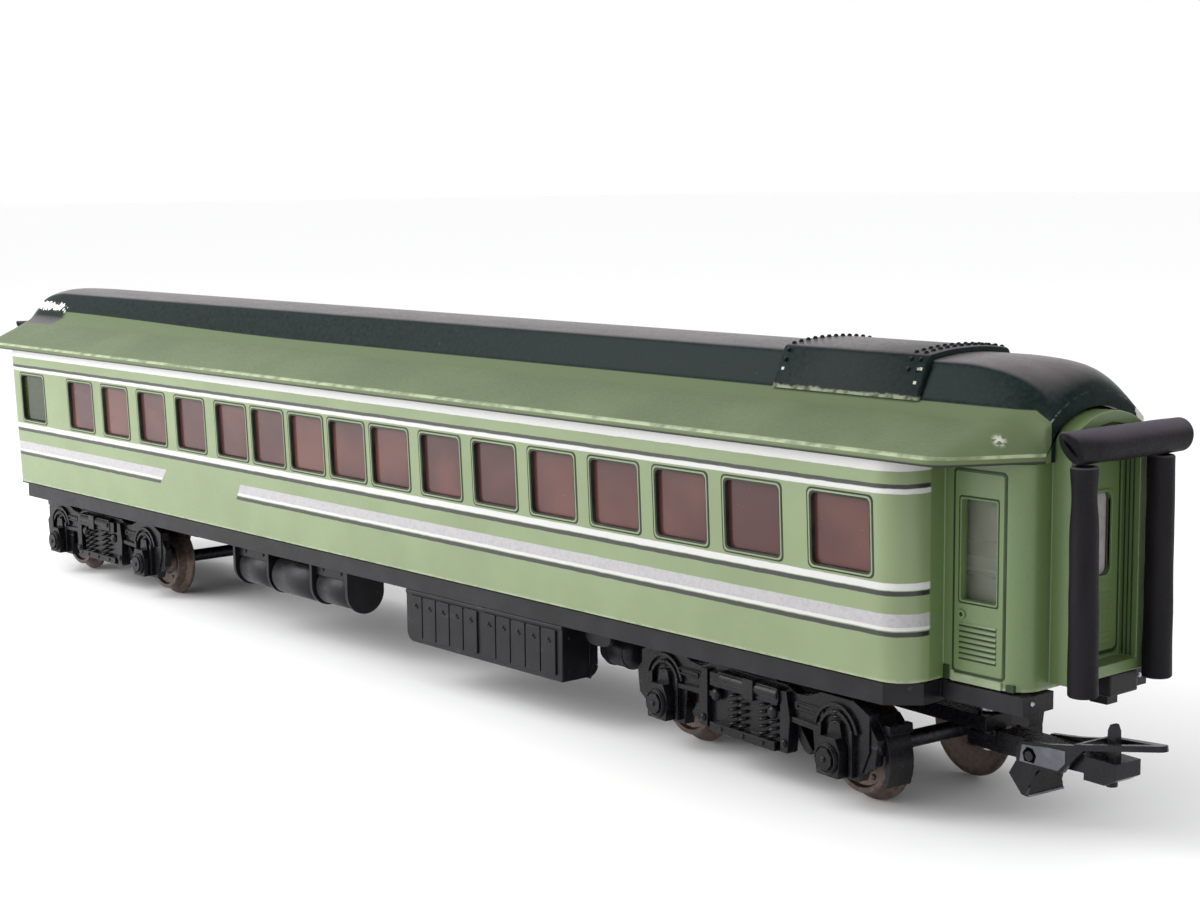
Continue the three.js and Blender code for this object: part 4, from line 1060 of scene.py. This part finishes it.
def axle(place, node, body, x):
    """Turned axle with thin ends, nowhere thicker than its CAD node."""
    build = Build()
    lo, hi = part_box(node)
    limit = (hi.z - lo.z) / 2 / MM
    half = [(1.15, 7.2), (0.75, 7.4), (0.75, 9.0), (0.55, 9.5), (0.55, 11.6), (0.4, 12.2), (0.0, 12.2)]
    half = [(min(r, limit), h) for r, h in half]
    build.lathe([(r, -h) for r, h in reversed(half)] + half, (x, 0, AXLE_Z), steps=32)
    build.make(node + "_form", AXLE, body, "axle_steel", replaces=[node], place=place, sharp=30)


def coupler_cheeks(place, end):
    """Rubbed plates on both cheeks of the hook loop, and the edge strip of its foot."""
    plates = Build()
    outline = [(30.9, 7.0), (36.0, 7.1), (36.9, 8.0), (36.9, 9.3), (34.6, 9.2), (31.2, 8.8)]
    turns = [math.radians(v) for v in (225, 315, 10, 60, 110, 170)]
    hole = [(32.2 + 0.95 * math.cos(t), 7.8 + 0.95 * math.sin(t)) for t in turns]
    for side in (-1, 1):
        plates.ring(outline, hole, side * 2.4, side * 2.6)
    plates.box(32.15, 32.35, -2.55, 2.55, 3.5, 3.72)
    plates.make(f"coupler_cheeks_{end}", CHEEK, f"coupler_hook_loop_{end}", "underframe_plastic",
                place=place, bevel=0.05)


number = 0
for degrees, sx, end in ((NEAR_SWIVEL, 1, "near"), (180, -1, "far")):
    place = turn(degrees, sx * PIVOT_X)
    refined(f"bogie_frame_{end}", BOGIE, 0.16)
    bogie_fittings(place, f"bogie_{end}", end)
    refined(f"king_pin_{end}", STEEL, 0.1)
    refined(f"coupler_swivel_pin_{end}", STEEL, 0.08)
    refined(f"coupler_shank_{end}", COUPLER, 0.14)
    refined(f"coupler_loop_{end}", COUPLER, 0.1)
    refined(f"coupler_loop_pin_{end}", PIN, 0.06)
    coupler_cheeks(place, end)
    for x in (WHEELBASE / 2, -WHEELBASE / 2):
        number += 1
        axle(place, f"axle_{number}", f"wheelset_{number}", x)
        for side, label in ((-1, "left"), (1, "right")):
            wheel(place, f"wheel_{number}_{label}", f"wheelset_{number}", x, side)


# ---- Studio ----
# The photo's view: angle round from the -Y side, angle up, tilt, lens (mm) and place (m)
VIEW_ROUND, VIEW_UP, VIEW_TILT, LENS = 49.42, 7.47, -0.56, 62.13
VIEW_PLACE = (0.2346, -0.17035, 0.06605)
LIGHT_AIM = (-0.09, 0, 0.02)


def studio():
    """White floor and surround, a low key light and a soft light from above."""
    look = Look("pale_floor", rough=0.7)
    speck = look.noise(0.05, 3)
    floor_mat = look.done(look.mix(speck, rgb(0xFDFDFD), rgb(0xFAFAFB)))
    mesh = bpy.data.meshes.new("floor")
    half = 6.0
    mesh.from_pydata([(x, y, 0) for x, y in corners(-half, half, -half, half)], [], [(0, 1, 2, 3)])
    mesh.materials.append(floor_mat)
    floor = bpy.data.objects.new("floor", mesh)
    bpy.context.scene.collection.objects.link(floor)
    world = bpy.data.worlds.new("soft_studio")
    world.use_nodes = True
    world.node_tree.nodes["Background"].inputs[0].default_value = (1.0, 1.0, 1.0, 1.0)
    world.node_tree.nodes["Background"].inputs[1].default_value = 1.0
    bpy.context.scene.world = world
    lights = (("key", (-0.2, -0.28, 0.2), 0.3, 1.5), ("top", (-0.3, -0.3, 0.9), 0.6, 0.8))
    for name, place, size, power in lights:
        light = bpy.data.lights.new(name, "AREA")
        light.size = size
        light.energy = power
        lamp = bpy.data.objects.new(name, light)
        lamp.location = place
        lamp.rotation_mode = "QUATERNION"
        lamp.rotation_quaternion = (Vector(LIGHT_AIM) - Vector(place)).to_track_quat("-Z", "Y")
        bpy.context.scene.collection.objects.link(lamp)


def camera():
    """Camera at the photo's angle."""
    a, e, r = (math.radians(v) for v in (VIEW_ROUND, VIEW_UP, VIEW_TILT))
    back = Vector((math.sin(a) * math.cos(e), -math.cos(a) * math.cos(e), math.sin(e)))
    right = (-back).cross(Vector((0, 0, 1))).normalized()
    up = right.cross(-back)
    across = right * math.cos(r) + up * math.sin(r)
    tall = up * math.cos(r) - right * math.sin(r)
    data = bpy.data.cameras.new("view")
    data.sensor_width = 36.0
    data.lens = LENS
    data.clip_start, data.clip_end = 0.01, 20.0
    cam = bpy.data.objects.new("view", data)
    turn_matrix = Matrix((across, tall, back)).transposed().to_4x4()
    cam.matrix_world = Matrix.Translation(VIEW_PLACE) @ turn_matrix
    bpy.context.scene.collection.objects.link(cam)
    bpy.context.scene.camera = cam


studio()
camera()
bpy.context.scene.view_settings.view_transform = "Standard"
